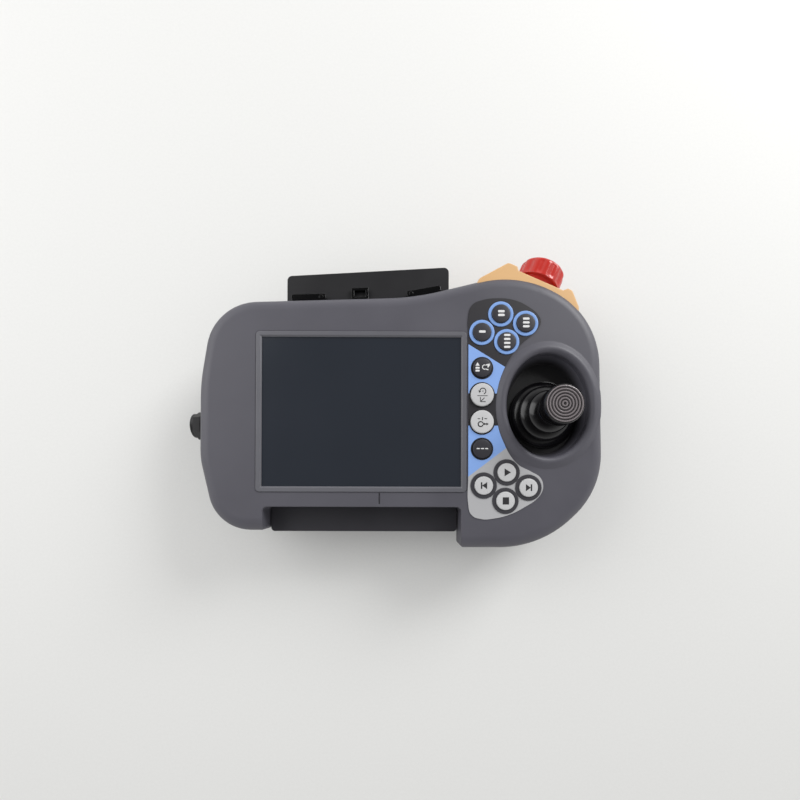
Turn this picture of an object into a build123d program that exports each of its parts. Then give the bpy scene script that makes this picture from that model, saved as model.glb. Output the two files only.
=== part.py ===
from build123d import *

import os
from math import atan2, cos, degrees, radians, sin

# A hand-held teach pendant for an industrial robot, lying on its back.
# Millimetres. +X runs to the joystick side, +Y to the edge with the stop button, +Z out of the
# screen. Positions are measured from a datum near the middle of the front; the last step moves
# the finished pendant so that its origin is the middle of its footprint, on the table.

# ---- Levels, from the table up -----------------------------------------------------------
GRIP_DEPTH = 36.0  # the humps carry the slab this far above the table
BACK_Z = GRIP_DEPTH
REAR_HEIGHT = 20.0  # the rear housing's share of the slab
PART_Z = BACK_Z + REAR_HEIGHT
FRONT_HEIGHT = 14.0  # the front housing's share
FRONT_Z = PART_Z + FRONT_HEIGHT
WALL = 3.0
SKIN_Z = FRONT_Z - WALL  # underside of the front skin
FLOOR_Z = BACK_Z + WALL  # inside of the slab's back

# ---- Fits -------------------------------------------------------------------------------------
RUN = 0.05  # radial clearance of a pin or plunger in its hole
SLIP = 0.15  # clearance all round a piece that drops into a recess
SOFT_GAP = 0.3  # clearance of a soft or flexing piece
SEAT = 0.02  # clearance of a fixed piece pushed into a hole

# ---- Display --------------------------------------------------------------------------------
DISPLAY_X, DISPLAY_Y = -26.1, -7.9
DISPLAY_W, DISPLAY_H = 156.5, 117.4  # the picture of a 7.7-inch 4:3 display
BEZEL_W, BEZEL_PROUD, BEZEL_R = 4.3, 0.8, 3.0
BEZEL_LEFT = DISPLAY_X - DISPLAY_W / 2 - BEZEL_W
BEZEL_RIGHT = DISPLAY_X + DISPLAY_W / 2 + BEZEL_W
BEZEL_TOP = DISPLAY_Y + DISPLAY_H / 2 + BEZEL_W
BEZEL_BOTTOM = DISPLAY_Y - DISPLAY_H / 2 - BEZEL_W
BEZEL_LAP = 2.0  # how far the bezel covers the glass
GLASS_T = 2.2
LCD_MARGIN, LCD_T = 2.8, 7.0

# ---- Outline, seen from the front: the left end holds the display, the right the controls -----
KEYS_LEFT = BEZEL_RIGHT + 1.35  # the left edge of the key field
BODY_LEFT, BODY_RIGHT = BEZEL_LEFT - 47.15, KEYS_LEFT + 108.5
TOP_EDGE, LOBE_TOP = BEZEL_TOP + 25.6, BEZEL_TOP + 51.3
LOBE_BOTTOM, LEFT_BOTTOM = BEZEL_BOTTOM - 44.3, BEZEL_BOTTOM - 30.8
NOTCH_LEFT, NOTCH_RIGHT, NOTCH_TOP = BODY_LEFT + 52.3, KEYS_LEFT - 5.4, BEZEL_BOTTOM - 11.7
FRONT_EDGE_R, BACK_EDGE_R = 10.0, 6.0

# ---- Keys -----------------------------------------------------------------------------------
KEY_R, DARK_KEY_R, WHITE_KEY_R = 7.2, 7.3, 9.0
KEY_PROUD, KEY_DOME, KEY_TRAVEL = 2.4, 0.5, 0.8
KEY_FLANGE, KEY_FLANGE_T = 1.0, 1.0
KEY_STEM_R, KEY_STEM = 2.5, 1.0
KEY_RING_W, KEY_RING_H = 2.6, 1.7
KEY_COLUMN_X, KEY_COLUMN_TOP, KEY_PITCH = KEYS_LEFT + 10.6, 26.4, 21.1
KEY_SPREAD, KEY_RISE = 17.5, 11.1  # half the long and the short diagonal of a cluster
UPPER_CLUSTER, UPPER_TURN = (KEYS_LEFT + 27.5, 57.9), 12.0
LOWER_CLUSTER, LOWER_TURN = (KEYS_LEFT + 29.4, -66.4), -2.5
OVERLAY_T, OVERLAY_TOP, OVERLAY_BOTTOM = 0.6, 81.2, -92.2
OVERLAY_ARC_R, OVERLAY_ARC_X, OVERLAY_ARC_Y = 71.0, KEYS_LEFT + 92.2, -2.0
BOARD_T = 1.6
SWITCH_W, SWITCH_T = 6.0, 1.2
POST_R = 1.8

# ---- Joystick -------------------------------------------------------------------------------
STICK_X, STICK_Y = KEYS_LEFT + 63.0, -7.8
BOWL_X, BOWL_Y, BOWL_RX, BOWL_RY = STICK_X - 0.3, -2.4, 32.6, 40.8
BOWL_WALL, BOWL_DEPTH, BOWL_TAPER = 2.5, 16.0, 1.5
CREST_W, CREST_H, CREST_TOP_W, CREST_R, RIM_R = 9.4, 2.5, 4.8, 2.0, 3.4
RIM_T = 1.6  # the housing's rim over the bowl's edge
CREST_FOOT = 64.6
BOWL_HOLE_R = 15.0
PIVOT_DROP = 18.0  # the tilt axes lie this far under the front face
STICK_R, KNOB_R, KNOB_H, KNOB_TOP = 5.0, 14.4, 17.0, 32.0
KNOB_RIBS = 6
BOOT_R, BOOT_FOLDS, BOOT_FOLD, BOOT_WALL = 26.5, 4, 3.4, 1.2
RING_R, RING_W, RING_T = 12.0, 3.0, 5.0
TRUNNION_R = 1.5
SENSOR_R, SENSOR_WALL, SENSOR_FLOOR = 21.0, 3.0, 28.0

# ---- Stop button --------------------------------------------------------------------------
STOP_X, STOP_Y = KEYS_LEFT + 59.6, LOBE_TOP - 6.2
STOP_TURN = 23.4  # degrees that the axis leans right of +Y
STOP_Z = BACK_Z + 14.0
STOP_HEAD_R, STOP_HEAD_H, STOP_DOME, STOP_EDGE_R = 18.3, 16.0, 1.6, 3.6
STOP_TRAVEL, STOP_FACE, STOP_LIP = 3.0, -2.6, 2.8
STOP_NECK_R, STOP_NECK, STOP_PLUNGER_R = 15.2, 6.0, 6.0
STOP_FLUTES, STOP_FLUTE_R, STOP_FLUTE_DEPTH = 12, 4.0, 0.7
STOP_BLOCK_LEFT, STOP_BLOCK_RIGHT = 29.6, 25.9  # half-widths of the yellow face
STOP_BLOCK_DEEP, STOP_BLOCK_T = 31.5, 33.4
CONTACT_W, CONTACT_T, CONTACT_L = 24.0, 19.0, 24.0

# ---- Cable gland ---------------------------------------------------------------------------
GLAND_Y, GLAND_Z = -15.7, BACK_Z + 9.5
GLAND_R, GLAND_BORE_R, GLAND_INSIDE = 8.0, 4.6, 12.0
GLAND_FLANGE, GLAND_NUT, GLAND_FLATS = 4.0, 8.5, 20.0

# ---- Strap ------------------------------------------------------------------------------------
ANCHOR_T, ANCHOR_BACK = 12.0, BACK_Z + 2.0
ANCHOR_LEFT, ANCHOR_RIGHT = -90.3, 44.6
ANCHOR_LEFT_TOP, ANCHOR_RIGHT_TOP = 109.2, 117.0
LOWER_ANCHOR_T, LOWER_ANCHOR_BOTTOM = 13.0, -103.6
STRAP_W, STRAP_X, STRAP_T, STRAP_LIFT, STRAP_BEND = 118.0, -21.0, 3.0, 1.5, 22.0
STRAP_TOP_Y, STRAP_BOTTOM_Y = 96.5, -95.0
CLIP_L, CLIP_W, CLIP_H = 28.0, 5.0, 5.0
TAB_L, TAB_W, TAB_H, TAB_BAR = 14.0, 10.0, 3.0, 2.2

# ---- Back: humps, enabling lever, stylus, reset, USB -----------------------------------------
GRIP_X, GRIP_Y, GRIP_W, GRIP_L, GRIP_R = -117.0, -10.0, 58.0, 116.0, 20.0
HUMP_X, HUMP_Y, HUMP_W, HUMP_L, HUMP_R = 106.0, -5.0, 84.0, 166.0, 34.0
HUMP_EDGE_R = 9.0
SADDLE_R, SADDLE_TOP, SADDLE_Y = 70.0, 19.0, -5.0
TRAY_L, TRAY_H, TRAY_D, TRAY_WALL, TRAY_Z = 70.0, 24.0, 14.0, 2.0, 22.0
LEVER_PROUD, LEVER_T, LEVER_TOP, LEVER_BOTTOM = 3.5, 3.0, 31.0, 14.0
LEVER_PIN_IN, LEVER_PIN_Z, LEVER_PIN_R, LEVER_BARREL_R = 5.0, 28.8, 1.5, 2.4
PLUNGER_R, PLUNGER_Z, PLUNGER_OUT, PLUNGER_L = 2.5, 17.0, 2.2, 7.6
ENABLE_W, ENABLE_H, ENABLE_D = 20.0, 10.0, 5.0
STYLUS_X, STYLUS_Z, STYLUS_R, STYLUS_L, STYLUS_OUT = 78.0, 31.0, 3.8, 110.0, 10.0
STYLUS_TRAVEL, STYLUS_PLAY, STYLUS_TIP = 100.0, 0.2, 8.0
RESET_X, RESET_Y, RESET_R, RESET_SINK, RESET_TRAVEL = 43.5, 0.0, 3.5, 0.6, 1.0
USB_X, USB_Y, USB_Z, USB_TURN = 136.4, -92.0, BACK_Z + 10.5, 40.0
USB_W, USB_H, USB_SINK = 24.0, 12.0, 2.5
SOCKET_W, SOCKET_H, SOCKET_L, SOCKET_WALL = 14.5, 7.2, 13.0, 0.6
COVER_T, COVER_PIN_R, COVER_PIN = 2.0, 0.6, 1.0

# ---- Boards and screws ----------------------------------------------------------------------
MAIN_W, MAIN_H, MAIN_Z = 148.0, 96.0, BACK_Z + 9.0
STANDOFF_R, STANDOFF_X, STANDOFF_Y = 3.0, 55.0, 43.0
SCREWS = [(-129, 59), (-130, -82), (-20, 73), (63, -101), (157, -36), (157, 28)]
SCREW_R, SCREW_HEAD_R, SCREW_HEAD, SCREW_L, SCREW_SINK = 1.5, 2.8, 2.4, 20.0, 7.0
BOSS_R = 3.6
GASKET_W, GASKET_T = 1.2, 1.6


# ---- Small helpers ----------------------------------------------------------------------------
def prism(face, low, high):
    """A face drawn on the XY plane, raised from one level to another."""
    return extrude(Pos(0, 0, low) * face, high - low)


def rod(x, y, radius, low, high):
    return prism(Pos(x, y) * Circle(radius), low, high)


def box(x, y, low, width, length, height):
    """A box centred on x, y, standing on the level low."""
    return Pos(x, y, low + height / 2) * Box(width, length, height)


def turned(points):
    """A solid of revolution about Z from points (radius, height)."""
    return revolve(make_face(Plane.XZ * Polyline(*points, close=True)), Axis.Z)


def edges_at(solid, level):
    return solid.edges().filter_by(
        lambda e: abs(e.bounding_box().min.Z - level) < 1e-4
        and abs(e.bounding_box().max.Z - level) < 1e-4
    )


def rounded(corners, inset=0.0):
    """A closed line through corners, each ((x, y), radius), as a face."""
    wire = FilletPolyline(*[p for p, _ in corners], radius=[r for _, r in corners], close=True)
    face = make_face(wire)
    return offset(face, -inset) if inset else face


def outline_corners(bottom):
    """The pendant's outline, with the given corners between its two lower ends."""
    return [
        ((BODY_LEFT, TOP_EDGE - 65), 146),
        ((BODY_LEFT + 10.4, TOP_EDGE), 42),
        ((BODY_LEFT + 171.3, TOP_EDGE + 4.9), 200),
        ((BODY_RIGHT - 66.4, LOBE_TOP), 85),
        ((BODY_RIGHT - 2.4, LOBE_TOP - 36.1), 68),
        ((BODY_RIGHT, LOBE_BOTTOM + 45.3), 68),
        ((BODY_RIGHT - 49.9, LOBE_BOTTOM), 83),
        *bottom,
        ((BODY_LEFT + 13.7, LEFT_BOTTOM), 34),
        ((BODY_LEFT, LEFT_BOTTOM + 57), 58),
    ]


def outline(inset=0.0):
    """The outline with its notch for the hand strap's lower end."""
    notch = [
        ((NOTCH_RIGHT, LOBE_BOTTOM), 3.5),
        ((NOTCH_RIGHT, NOTCH_TOP), 3.5),
        ((NOTCH_LEFT, NOTCH_TOP), 3.5),
        ((NOTCH_LEFT, LEFT_BOTTOM), 3.5),
    ]
    return rounded(outline_corners(notch), inset)


def plain_outline(inset=0.0):
    """The outline before the notch is cut."""
    bottom = [((NOTCH_RIGHT - 12, LOBE_BOTTOM), 60), ((NOTCH_LEFT + 10, LEFT_BOTTOM), 60)]
    return rounded(outline_corners(bottom), inset)


def oval(grow=0.0):
    return Pos(BOWL_X, BOWL_Y) * Ellipse(BOWL_RX + grow, BOWL_RY + grow)


def stop_point(across, along):
    """A point in the stop button's own directions, measured from the foot of its head."""
    turn = radians(STOP_TURN)
    x = STOP_X + across * cos(turn) + along * sin(turn)
    y = STOP_Y - across * sin(turn) + along * cos(turn)
    return (x, y)


STOP_AXIS_DIR = (sin(radians(STOP_TURN)), cos(radians(STOP_TURN)), 0)
STOP_ACROSS = (cos(radians(STOP_TURN)), -sin(radians(STOP_TURN)), 0)
STOP_PLANE = Plane(origin=(STOP_X, STOP_Y, STOP_Z), x_dir=STOP_ACROSS, z_dir=STOP_AXIS_DIR)
USB_NORMAL = (sin(radians(USB_TURN)), -cos(radians(USB_TURN)), 0)
USB_ALONG = (cos(radians(USB_TURN)), sin(radians(USB_TURN)), 0)
USB_PLANE = Plane(origin=(USB_X, USB_Y, USB_Z), x_dir=USB_ALONG, z_dir=USB_NORMAL)


def cluster(centre, turn):
    """Four places round a centre: left, top, right and bottom of a leaning diamond."""
    places = []
    for angle, reach in ((180, KEY_SPREAD), (90, KEY_RISE), (0, KEY_SPREAD), (270, KEY_RISE)):
        a = radians(angle + turn)
        places.append((centre[0] + reach * cos(a), centre[1] + reach * sin(a)))
    return places


def key_places():
    """Each key's name, place, radius and whether a raised ring stands round it."""
    left, top, right, bottom = cluster(UPPER_CLUSTER, UPPER_TURN)
    back, start, forward, stop = cluster(LOWER_CLUSTER, LOWER_TURN)
    column = [(KEY_COLUMN_X, KEY_COLUMN_TOP - i * KEY_PITCH) for i in range(4)]
    return [
        ("key_one_bar", left, KEY_R, True),
        ("key_two_bars", top, KEY_R, True),
        ("key_three_bars", right, KEY_R, True),
        ("key_four_bars", bottom, KEY_R, True),
        ("key_unit", column[0], DARK_KEY_R, False),
        ("key_turn_mode", column[1], WHITE_KEY_R, False),
        ("key_axis_mode", column[2], WHITE_KEY_R, False),
        ("key_step_size", column[3], DARK_KEY_R, False),
        ("key_start", start, KEY_R, True),
        ("key_step_back", back, KEY_R, True),
        ("key_step_forward", forward, KEY_R, True),
        ("key_stop", stop, KEY_R, True),
    ]


KEYS = key_places()


# ---- Stop button ------------------------------------------------------------------------------
def stop_block(grow=0.0):
    """The yellow block's outer form: a trapezium seen from the front."""
    left, right = STOP_BLOCK_LEFT + grow, STOP_BLOCK_RIGHT + grow
    face, deep = STOP_FACE + STOP_LIP + grow, STOP_BLOCK_DEEP + grow
    corners = [
        stop_point(-left, face),
        stop_point(right, face),
        stop_point(right + 11, face - 11),
        stop_point(right + 11, -deep),
        stop_point(-left - 16.5, -deep),
        stop_point(-left - 16.5, face - 21),
    ]
    wire = FilletPolyline(*corners, radius=[4, 4, 6, 2, 2, 6], close=True)
    half = STOP_BLOCK_T / 2 + grow
    return prism(make_face(wire), STOP_Z - half, STOP_Z + half)


def make_stop_housing():
    reach = STOP_HEAD_R + 1.0
    floor, lip = STOP_FACE, STOP_FACE + STOP_LIP
    bay = [(-reach, floor), (reach, floor), (reach + 3.5, lip + 1), (-reach - 3.5, lip + 1)]
    bay = make_face(Polyline(*[stop_point(*p) for p in bay], close=True))
    block = stop_block() - prism(bay, STOP_Z - STOP_BLOCK_T, STOP_Z + STOP_BLOCK_T)
    block = fillet(edges_at(block, STOP_Z + STOP_BLOCK_T / 2), 1.2)
    recess_floor = STOP_FACE - STOP_NECK - STOP_TRAVEL
    recess = STOP_PLANE * rod(0, 0, STOP_NECK_R + 0.4, recess_floor, 20)
    bore = STOP_PLANE * rod(0, 0, STOP_PLUNGER_R + RUN, -STOP_BLOCK_DEEP - 5, 0)
    return block - recess - bore


def make_stop_head():
    top, edge = STOP_HEAD_H, STOP_EDGE_R
    head = STOP_PLANE * turned(
        [
            (0, STOP_FACE - STOP_NECK + 0.4),
            (STOP_NECK_R, STOP_FACE - STOP_NECK + 0.4),
            (STOP_NECK_R, 1.0),
            (STOP_HEAD_R, 1.0),
            (STOP_HEAD_R, top - edge),
            (STOP_HEAD_R - 0.3 * edge, top - 0.3 * edge),
            (STOP_HEAD_R - edge, top),
            (0.4 * STOP_HEAD_R, top + 0.7 * STOP_DOME),
            (0, top + STOP_DOME),
        ]
    )
    reach = STOP_HEAD_R + STOP_FLUTE_R - STOP_FLUTE_DEPTH
    flutes = [
        Pos(loc.position) * rod(0, 0, STOP_FLUTE_R, 0, top)
        for loc in PolarLocations(reach, STOP_FLUTES)
    ]
    return head - [STOP_PLANE * flute for flute in flutes]


def make_stop_plunger():
    low = -STOP_BLOCK_DEEP - STOP_TRAVEL + 1.0
    return STOP_PLANE * rod(0, 0, STOP_PLUNGER_R, low, STOP_FACE - STOP_NECK + 0.4)


def make_stop_contacts():
    top = -STOP_BLOCK_DEEP
    body = STOP_PLANE * box(0, 0, top - CONTACT_L, CONTACT_W, CONTACT_T, CONTACT_L)
    body = chamfer(body.edges().filter_by(Axis.Z), 1.5)
    socket_floor = top - 2 * STOP_TRAVEL
    return body - STOP_PLANE * rod(0, 0, STOP_PLUNGER_R + RUN, socket_floor, top + 1)


# ---- Housings -----------------------------------------------------------------------------------
def ledge_form(inset):
    """The front half as a solid, or the hollow inside it when inset is the wall."""
    top = FRONT_Z - inset
    form = prism(plain_outline(inset), PART_Z, top)
    form = fillet(edges_at(form, top), FRONT_EDGE_R - inset)
    return form & prism(outline(inset), PART_Z, top)


def make_crest():
    """The swell round the joystick: a slope up from the face, rolling over into the bowl."""
    top = FRONT_Z + CREST_H
    crest = prism(oval(CREST_W), CREST_FOOT, FRONT_Z)
    crest += loft([Pos(0, 0, FRONT_Z) * oval(CREST_W), Pos(0, 0, top) * oval(CREST_TOP_W)])
    crest -= prism(oval(), CREST_FOOT - 1, top + 1)
    crest = fillet(edges_at(crest, top).sort_by(Edge.length)[0], RIM_R)
    crest = fillet(edges_at(crest, top).sort_by(Edge.length)[-1], CREST_R)
    over = prism(plain_outline(), PART_Z, top)
    return crest & fillet(edges_at(over, top), FRONT_EDGE_R)


def make_front_housing():
    shell = ledge_form(0) - ledge_form(WALL)
    shell -= prism(oval(CREST_W - 1), SKIN_Z - 1, FRONT_Z + 1)
    shell += make_crest()
    shell -= prism(oval(BOWL_WALL + SLIP), CREST_FOOT - 1, BOWL_TOP + SOFT_GAP)
    shell -= box(DISPLAY_X, DISPLAY_Y, SKIN_Z - 1, *glass_size(SLIP), WALL + 2)
    shell -= prism(bezel_outline(SLIP), glass_top(), FRONT_Z + 1)
    for _, (x, y), radius, _ in KEYS:
        shell -= rod(x, y, radius + SLIP, SKIN_Z - 1, FRONT_Z + 1)
    for x, y in POSTS:
        shell += rod(x, y, POST_R, KEY_BOARD_Z + BOARD_T, SKIN_Z + 1)
    for x, y in SCREWS:
        shell += rod(x, y, BOSS_R, PART_Z, SKIN_Z + 1)
        shell -= rod(x, y, SCREW_R + SEAT, PART_Z - 1, SKIN_Z - 1)
    slit_y = NOTCH_TOP + 6.5
    shell -= box(-11.8, slit_y, FRONT_Z - 1, 1.2, 8.5, 2)
    return shell - stop_block(SLIP)


def grip_form(inset):
    """The hump under the left hand, flat-sided where the enabling lever sits."""
    face = Pos(GRIP_X, GRIP_Y) * RectangleRounded(
        GRIP_W - 2 * inset, GRIP_L - 2 * inset, GRIP_R - inset
    )
    form = prism(face, inset, FLOOR_Z + inset)
    return fillet(edges_at(form, inset), HUMP_EDGE_R - inset)


def hump_form(inset):
    """The hump behind the joystick, with a saddle across it for the wrist."""
    face = Pos(HUMP_X, HUMP_Y) * RectangleRounded(
        HUMP_W - 2 * inset, HUMP_L - 2 * inset, HUMP_R - inset
    )
    form = prism(face, inset, FLOOR_Z + inset)
    form = fillet(edges_at(form, inset), HUMP_EDGE_R - inset)
    saddle = Pos(HUMP_X, SADDLE_Y, SADDLE_TOP - SADDLE_R) * Rot(0, 90, 0) * Cylinder(
        SADDLE_R + inset, HUMP_W + 20
    )
    return form - saddle


def slab_form(inset):
    form = prism(outline(inset), BACK_Z + inset, PART_Z)
    return fillet(edges_at(form, BACK_Z + inset), BACK_EDGE_R - inset)


def rear_form(inset):
    return slab_form(inset) + grip_form(inset) + hump_form(inset)


def tray_box(grow=0.0, depth=TRAY_D):
    """The space of the enabling lever's tray in the grip's left wall."""
    wall_x = GRIP_X - GRIP_W / 2
    width, height = TRAY_L + 2 * grow, TRAY_H + 2 * grow
    return Pos(wall_x + depth / 2, GRIP_Y, TRAY_Z) * Box(depth, width, height)


def stylus_tube(radius, low, high):
    """A rod along Y on the stylus's line."""
    return Plane(origin=(STYLUS_X, 0, STYLUS_Z), x_dir=(1, 0, 0), z_dir=(0, 1, 0)) * rod(
        0, 0, radius, low, high
    )


STYLUS_WALL_Y = HUMP_Y - HUMP_L / 2  # outer face of the hump at the stylus


def make_rear_housing():
    shell = rear_form(0) - rear_form(WALL)
    for x, y in SCREWS:
        shell += rod(x, y, SCREW_HEAD_R + 1.4, FLOOR_Z - 1, PART_Z)
        shell -= rod(x, y, SCREW_HEAD_R + SLIP, BACK_Z - 1, BACK_Z + SCREW_SINK)
        shell -= rod(x, y, SCREW_R + SLIP, BACK_Z, PART_Z + 1)
    for x, y in STANDOFFS:
        shell += rod(x, y, STANDOFF_R, FLOOR_Z - 1, MAIN_Z)
    shell -= Pos(-WALL, 0, 0) * tray_box(SEAT, TRAY_D + WALL)
    shell -= gland_rod(GLAND_R + SEAT, -GLAND_INSIDE - 1, 5)
    stylus_end = STYLUS_WALL_Y - STYLUS_OUT + STYLUS_L + STYLUS_PLAY
    shell += stylus_tube(STYLUS_R + STYLUS_PLAY + 1.6, STYLUS_WALL_Y + 1, stylus_end + 1.5)
    shell -= stylus_tube(STYLUS_R + STYLUS_PLAY, STYLUS_WALL_Y - 1, stylus_end)
    shell -= rod(RESET_X, RESET_Y, RESET_R + SLIP, BACK_Z - 1, FLOOR_Z + 1)
    boss_depth = SOCKET_L + USB_SINK
    shell += USB_PLANE * box(0, 0, -boss_depth, USB_W + 4, USB_H + 4, boss_depth - 1.5)
    shell -= USB_PLANE * box(0, 0, -USB_SINK, USB_W, USB_H, USB_SINK + 4)
    shell -= USB_PLANE * box(
        0, 0, -boss_depth - 1, SOCKET_W + 2 * SEAT, SOCKET_H + 2 * SEAT, boss_depth + 2
    )
    for side in (-1, 1):
        shell -= cover_pin(side, COVER_PIN_R + RUN, COVER_PIN + SLIP)
    groove = outline((WALL - GASKET_W) / 2 - SEAT) - outline((WALL + GASKET_W) / 2 + SEAT)
    shell -= prism(groove, PART_Z - GASKET_T, PART_Z + 1)
    return shell - stop_block(SLIP)


def make_gasket():
    ring = outline((WALL - GASKET_W) / 2) - outline((WALL + GASKET_W) / 2)
    return prism(ring, PART_Z - GASKET_T, PART_Z) - stop_block(SLIP)


def make_screw(x, y):
    head_top = BACK_Z + SCREW_SINK
    shank = rod(x, y, SCREW_R, head_top, head_top + SCREW_L)
    head = rod(x, y, SCREW_HEAD_R, head_top - SCREW_HEAD, head_top)
    recess = Pos(x, y) * RegularPolygon(1.3, 6)
    return shank + head - prism(recess, head_top - SCREW_HEAD - 1, head_top - 0.9)


# ---- Display stack ---------------------------------------------------------------------------
def glass_size(grow=0.0):
    return (
        DISPLAY_W + 2 * (BEZEL_LAP + grow),
        DISPLAY_H + 2 * (BEZEL_LAP + grow),
    )


def glass_top():
    return SKIN_Z + GLASS_T


def bezel_outline(grow=0.0):
    return Pos(DISPLAY_X, DISPLAY_Y) * RectangleRounded(
        DISPLAY_W + 2 * (BEZEL_W + grow), DISPLAY_H + 2 * (BEZEL_W + grow), BEZEL_R + grow
    )


def make_bezel():
    top = FRONT_Z + BEZEL_PROUD
    frame = prism(bezel_outline(), glass_top(), top)
    frame -= box(DISPLAY_X, DISPLAY_Y, glass_top() - 1, DISPLAY_W, DISPLAY_H, WALL + 3)
    outer, inner = edges_at(frame, top).group_by(lambda e: on_bezel_outside(e))
    frame = chamfer(inner, (top - glass_top()) * 0.7)
    outer = edges_at(frame, top).filter_by(lambda e: on_bezel_outside(e) == 0)
    return fillet(outer, 0.5)


def on_bezel_outside(edge):
    """0 for an edge on the bezel's outer rim, 1 for one round the window."""
    point = edge.center() - Vector(DISPLAY_X, DISPLAY_Y, 0)
    half_w, half_h = DISPLAY_W / 2 + 0.5, DISPLAY_H / 2 + 0.5
    return 0 if abs(point.X) > half_w or abs(point.Y) > half_h else 1


def make_glass():
    return box(DISPLAY_X, DISPLAY_Y, SKIN_Z, *glass_size(), GLASS_T)


def make_display():
    width, height = DISPLAY_W + 2 * LCD_MARGIN, DISPLAY_H + 2 * LCD_MARGIN
    can = box(DISPLAY_X, DISPLAY_Y, SKIN_Z - LCD_T, width, height, LCD_T)
    tray = box(DISPLAY_X, DISPLAY_Y, SKIN_Z - LCD_T, width - 16, height - 16, 1.0)
    return can - tray


# ---- Keypad -----------------------------------------------------------------------------------
KEY_FLANGE_TOP = SKIN_Z - SOFT_GAP
KEY_FOOT_Z = KEY_FLANGE_TOP - KEY_FLANGE_T - KEY_STEM
KEY_BOARD_Z = KEY_FOOT_Z - KEY_TRAVEL - 0.1 - SWITCH_T - BOARD_T
POSTS = [(KEYS_LEFT + 3.7, 40), (KEYS_LEFT + 3.7, -26), (KEYS_LEFT + 8.2, -86), (KEYS_LEFT + 8.2, 75)]


def key_field():
    """The field of the keys: two horns round a round bay on the joystick's side."""
    left, top, bottom = KEYS_LEFT, OVERLAY_TOP, OVERLAY_BOTTOM
    corners = [
        ((left, top), 11),
        ((left + 30, top + 1.2), 40),
        ((left + 50, top - 5.7), 20),
        ((left + 61, top - 19.2), 6),
        ((left + 41.7, top - 33), 0),
        ((left + 54, 30), 0),
        ((left + 54, -35), 0),
        ((left + 40.2, bottom + 45), 0),
        ((left + 62, bottom + 30.8), 7),
        ((left + 55.7, bottom + 15.7), 12),
        ((left + 34, bottom + 3), 40),
        ((left + 12, bottom), 0),
        ((left, bottom), 11),
    ]
    arc = Pos(OVERLAY_ARC_X, OVERLAY_ARC_Y) * Circle(OVERLAY_ARC_R)
    return rounded(corners) - arc


def make_overlay():
    sheet = prism(key_field() - oval(CREST_W + SLIP), FRONT_Z, FRONT_Z + OVERLAY_T)
    for _, (x, y), radius, ringed in KEYS:
        if ringed:
            sheet += rod(x, y, radius + SLIP + KEY_RING_W, FRONT_Z, FRONT_Z + KEY_RING_H)
    for _, (x, y), radius, _ in KEYS:
        sheet -= rod(x, y, radius + SLIP, FRONT_Z - 1, FRONT_Z + KEY_RING_H + 1)
    return sheet


def make_key(x, y, radius):
    top = FRONT_Z + KEY_PROUD
    key = turned(
        [
            (0, KEY_FOOT_Z),
            (KEY_STEM_R, KEY_FOOT_Z),
            (KEY_STEM_R, KEY_FLANGE_TOP - KEY_FLANGE_T),
            (radius + KEY_FLANGE, KEY_FLANGE_TOP - KEY_FLANGE_T),
            (radius + KEY_FLANGE, KEY_FLANGE_TOP),
            (radius, KEY_FLANGE_TOP),
            (radius, top - KEY_DOME),
            (radius - KEY_DOME, top),
            (0.5 * radius, top + 0.3 * KEY_DOME),
            (0, top + 0.4 * KEY_DOME),
        ]
    )
    return Pos(x, y) * key


def make_key_board():
    field = offset(key_field(), -2.0) - oval(BOWL_WALL + 2.0)
    return prism(field, KEY_BOARD_Z, KEY_BOARD_Z + BOARD_T) - stop_block(1.0)


def make_key_switches():
    level = KEY_BOARD_Z + BOARD_T
    body = [box(x, y, level, SWITCH_W, SWITCH_W, SWITCH_T) for _, (x, y), _, _ in KEYS]
    return Compound(children=[solid for part in body for solid in part.solids()])


def make_main_board():
    board = box(DISPLAY_X, DISPLAY_Y, MAIN_Z, MAIN_W, MAIN_H, BOARD_T)
    top = MAIN_Z + BOARD_T
    board += box(DISPLAY_X - 30, DISPLAY_Y + 15, top, 32, 32, 5)
    board += box(DISPLAY_X + 15, DISPLAY_Y + 20, top, 14, 22, 1.6)
    board += box(DISPLAY_X + 40, DISPLAY_Y - 35, top, 40, 8, 7)
    return board + box(DISPLAY_X - 50, DISPLAY_Y - 35, top, 24, 8, 7)


STANDOFFS = [
    (DISPLAY_X + i * STANDOFF_X, DISPLAY_Y + j * STANDOFF_Y) for i in (-1, 1) for j in (-1, 1)
]


# ---- Joystick ---------------------------------------------------------------------------------
PIVOT_Z = FRONT_Z - PIVOT_DROP
BOWL_TOP = FRONT_Z + CREST_H - RIM_R - RIM_T
BOWL_FLOOR = FRONT_Z - BOWL_DEPTH + BOWL_WALL
KNOB_BASE = FRONT_Z + KNOB_TOP - KNOB_H


def make_bowl():
    low = FRONT_Z - BOWL_DEPTH
    rim = prism(oval(BOWL_WALL) - oval(0.0), BOWL_TOP - 3, BOWL_TOP)
    outside = loft([Pos(0, 0, low) * oval(-BOWL_TAPER), Pos(0, 0, BOWL_TOP - 3) * oval(BOWL_WALL)])
    inside = loft(
        [
            Pos(0, 0, BOWL_FLOOR) * oval(-BOWL_TAPER - BOWL_WALL),
            Pos(0, 0, BOWL_TOP - 3) * oval(0.0),
        ]
    )
    hole = rod(STICK_X, STICK_Y, BOWL_HOLE_R, low - 1, BOWL_FLOOR + 1)
    return rim + (outside - inside) - hole


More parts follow.
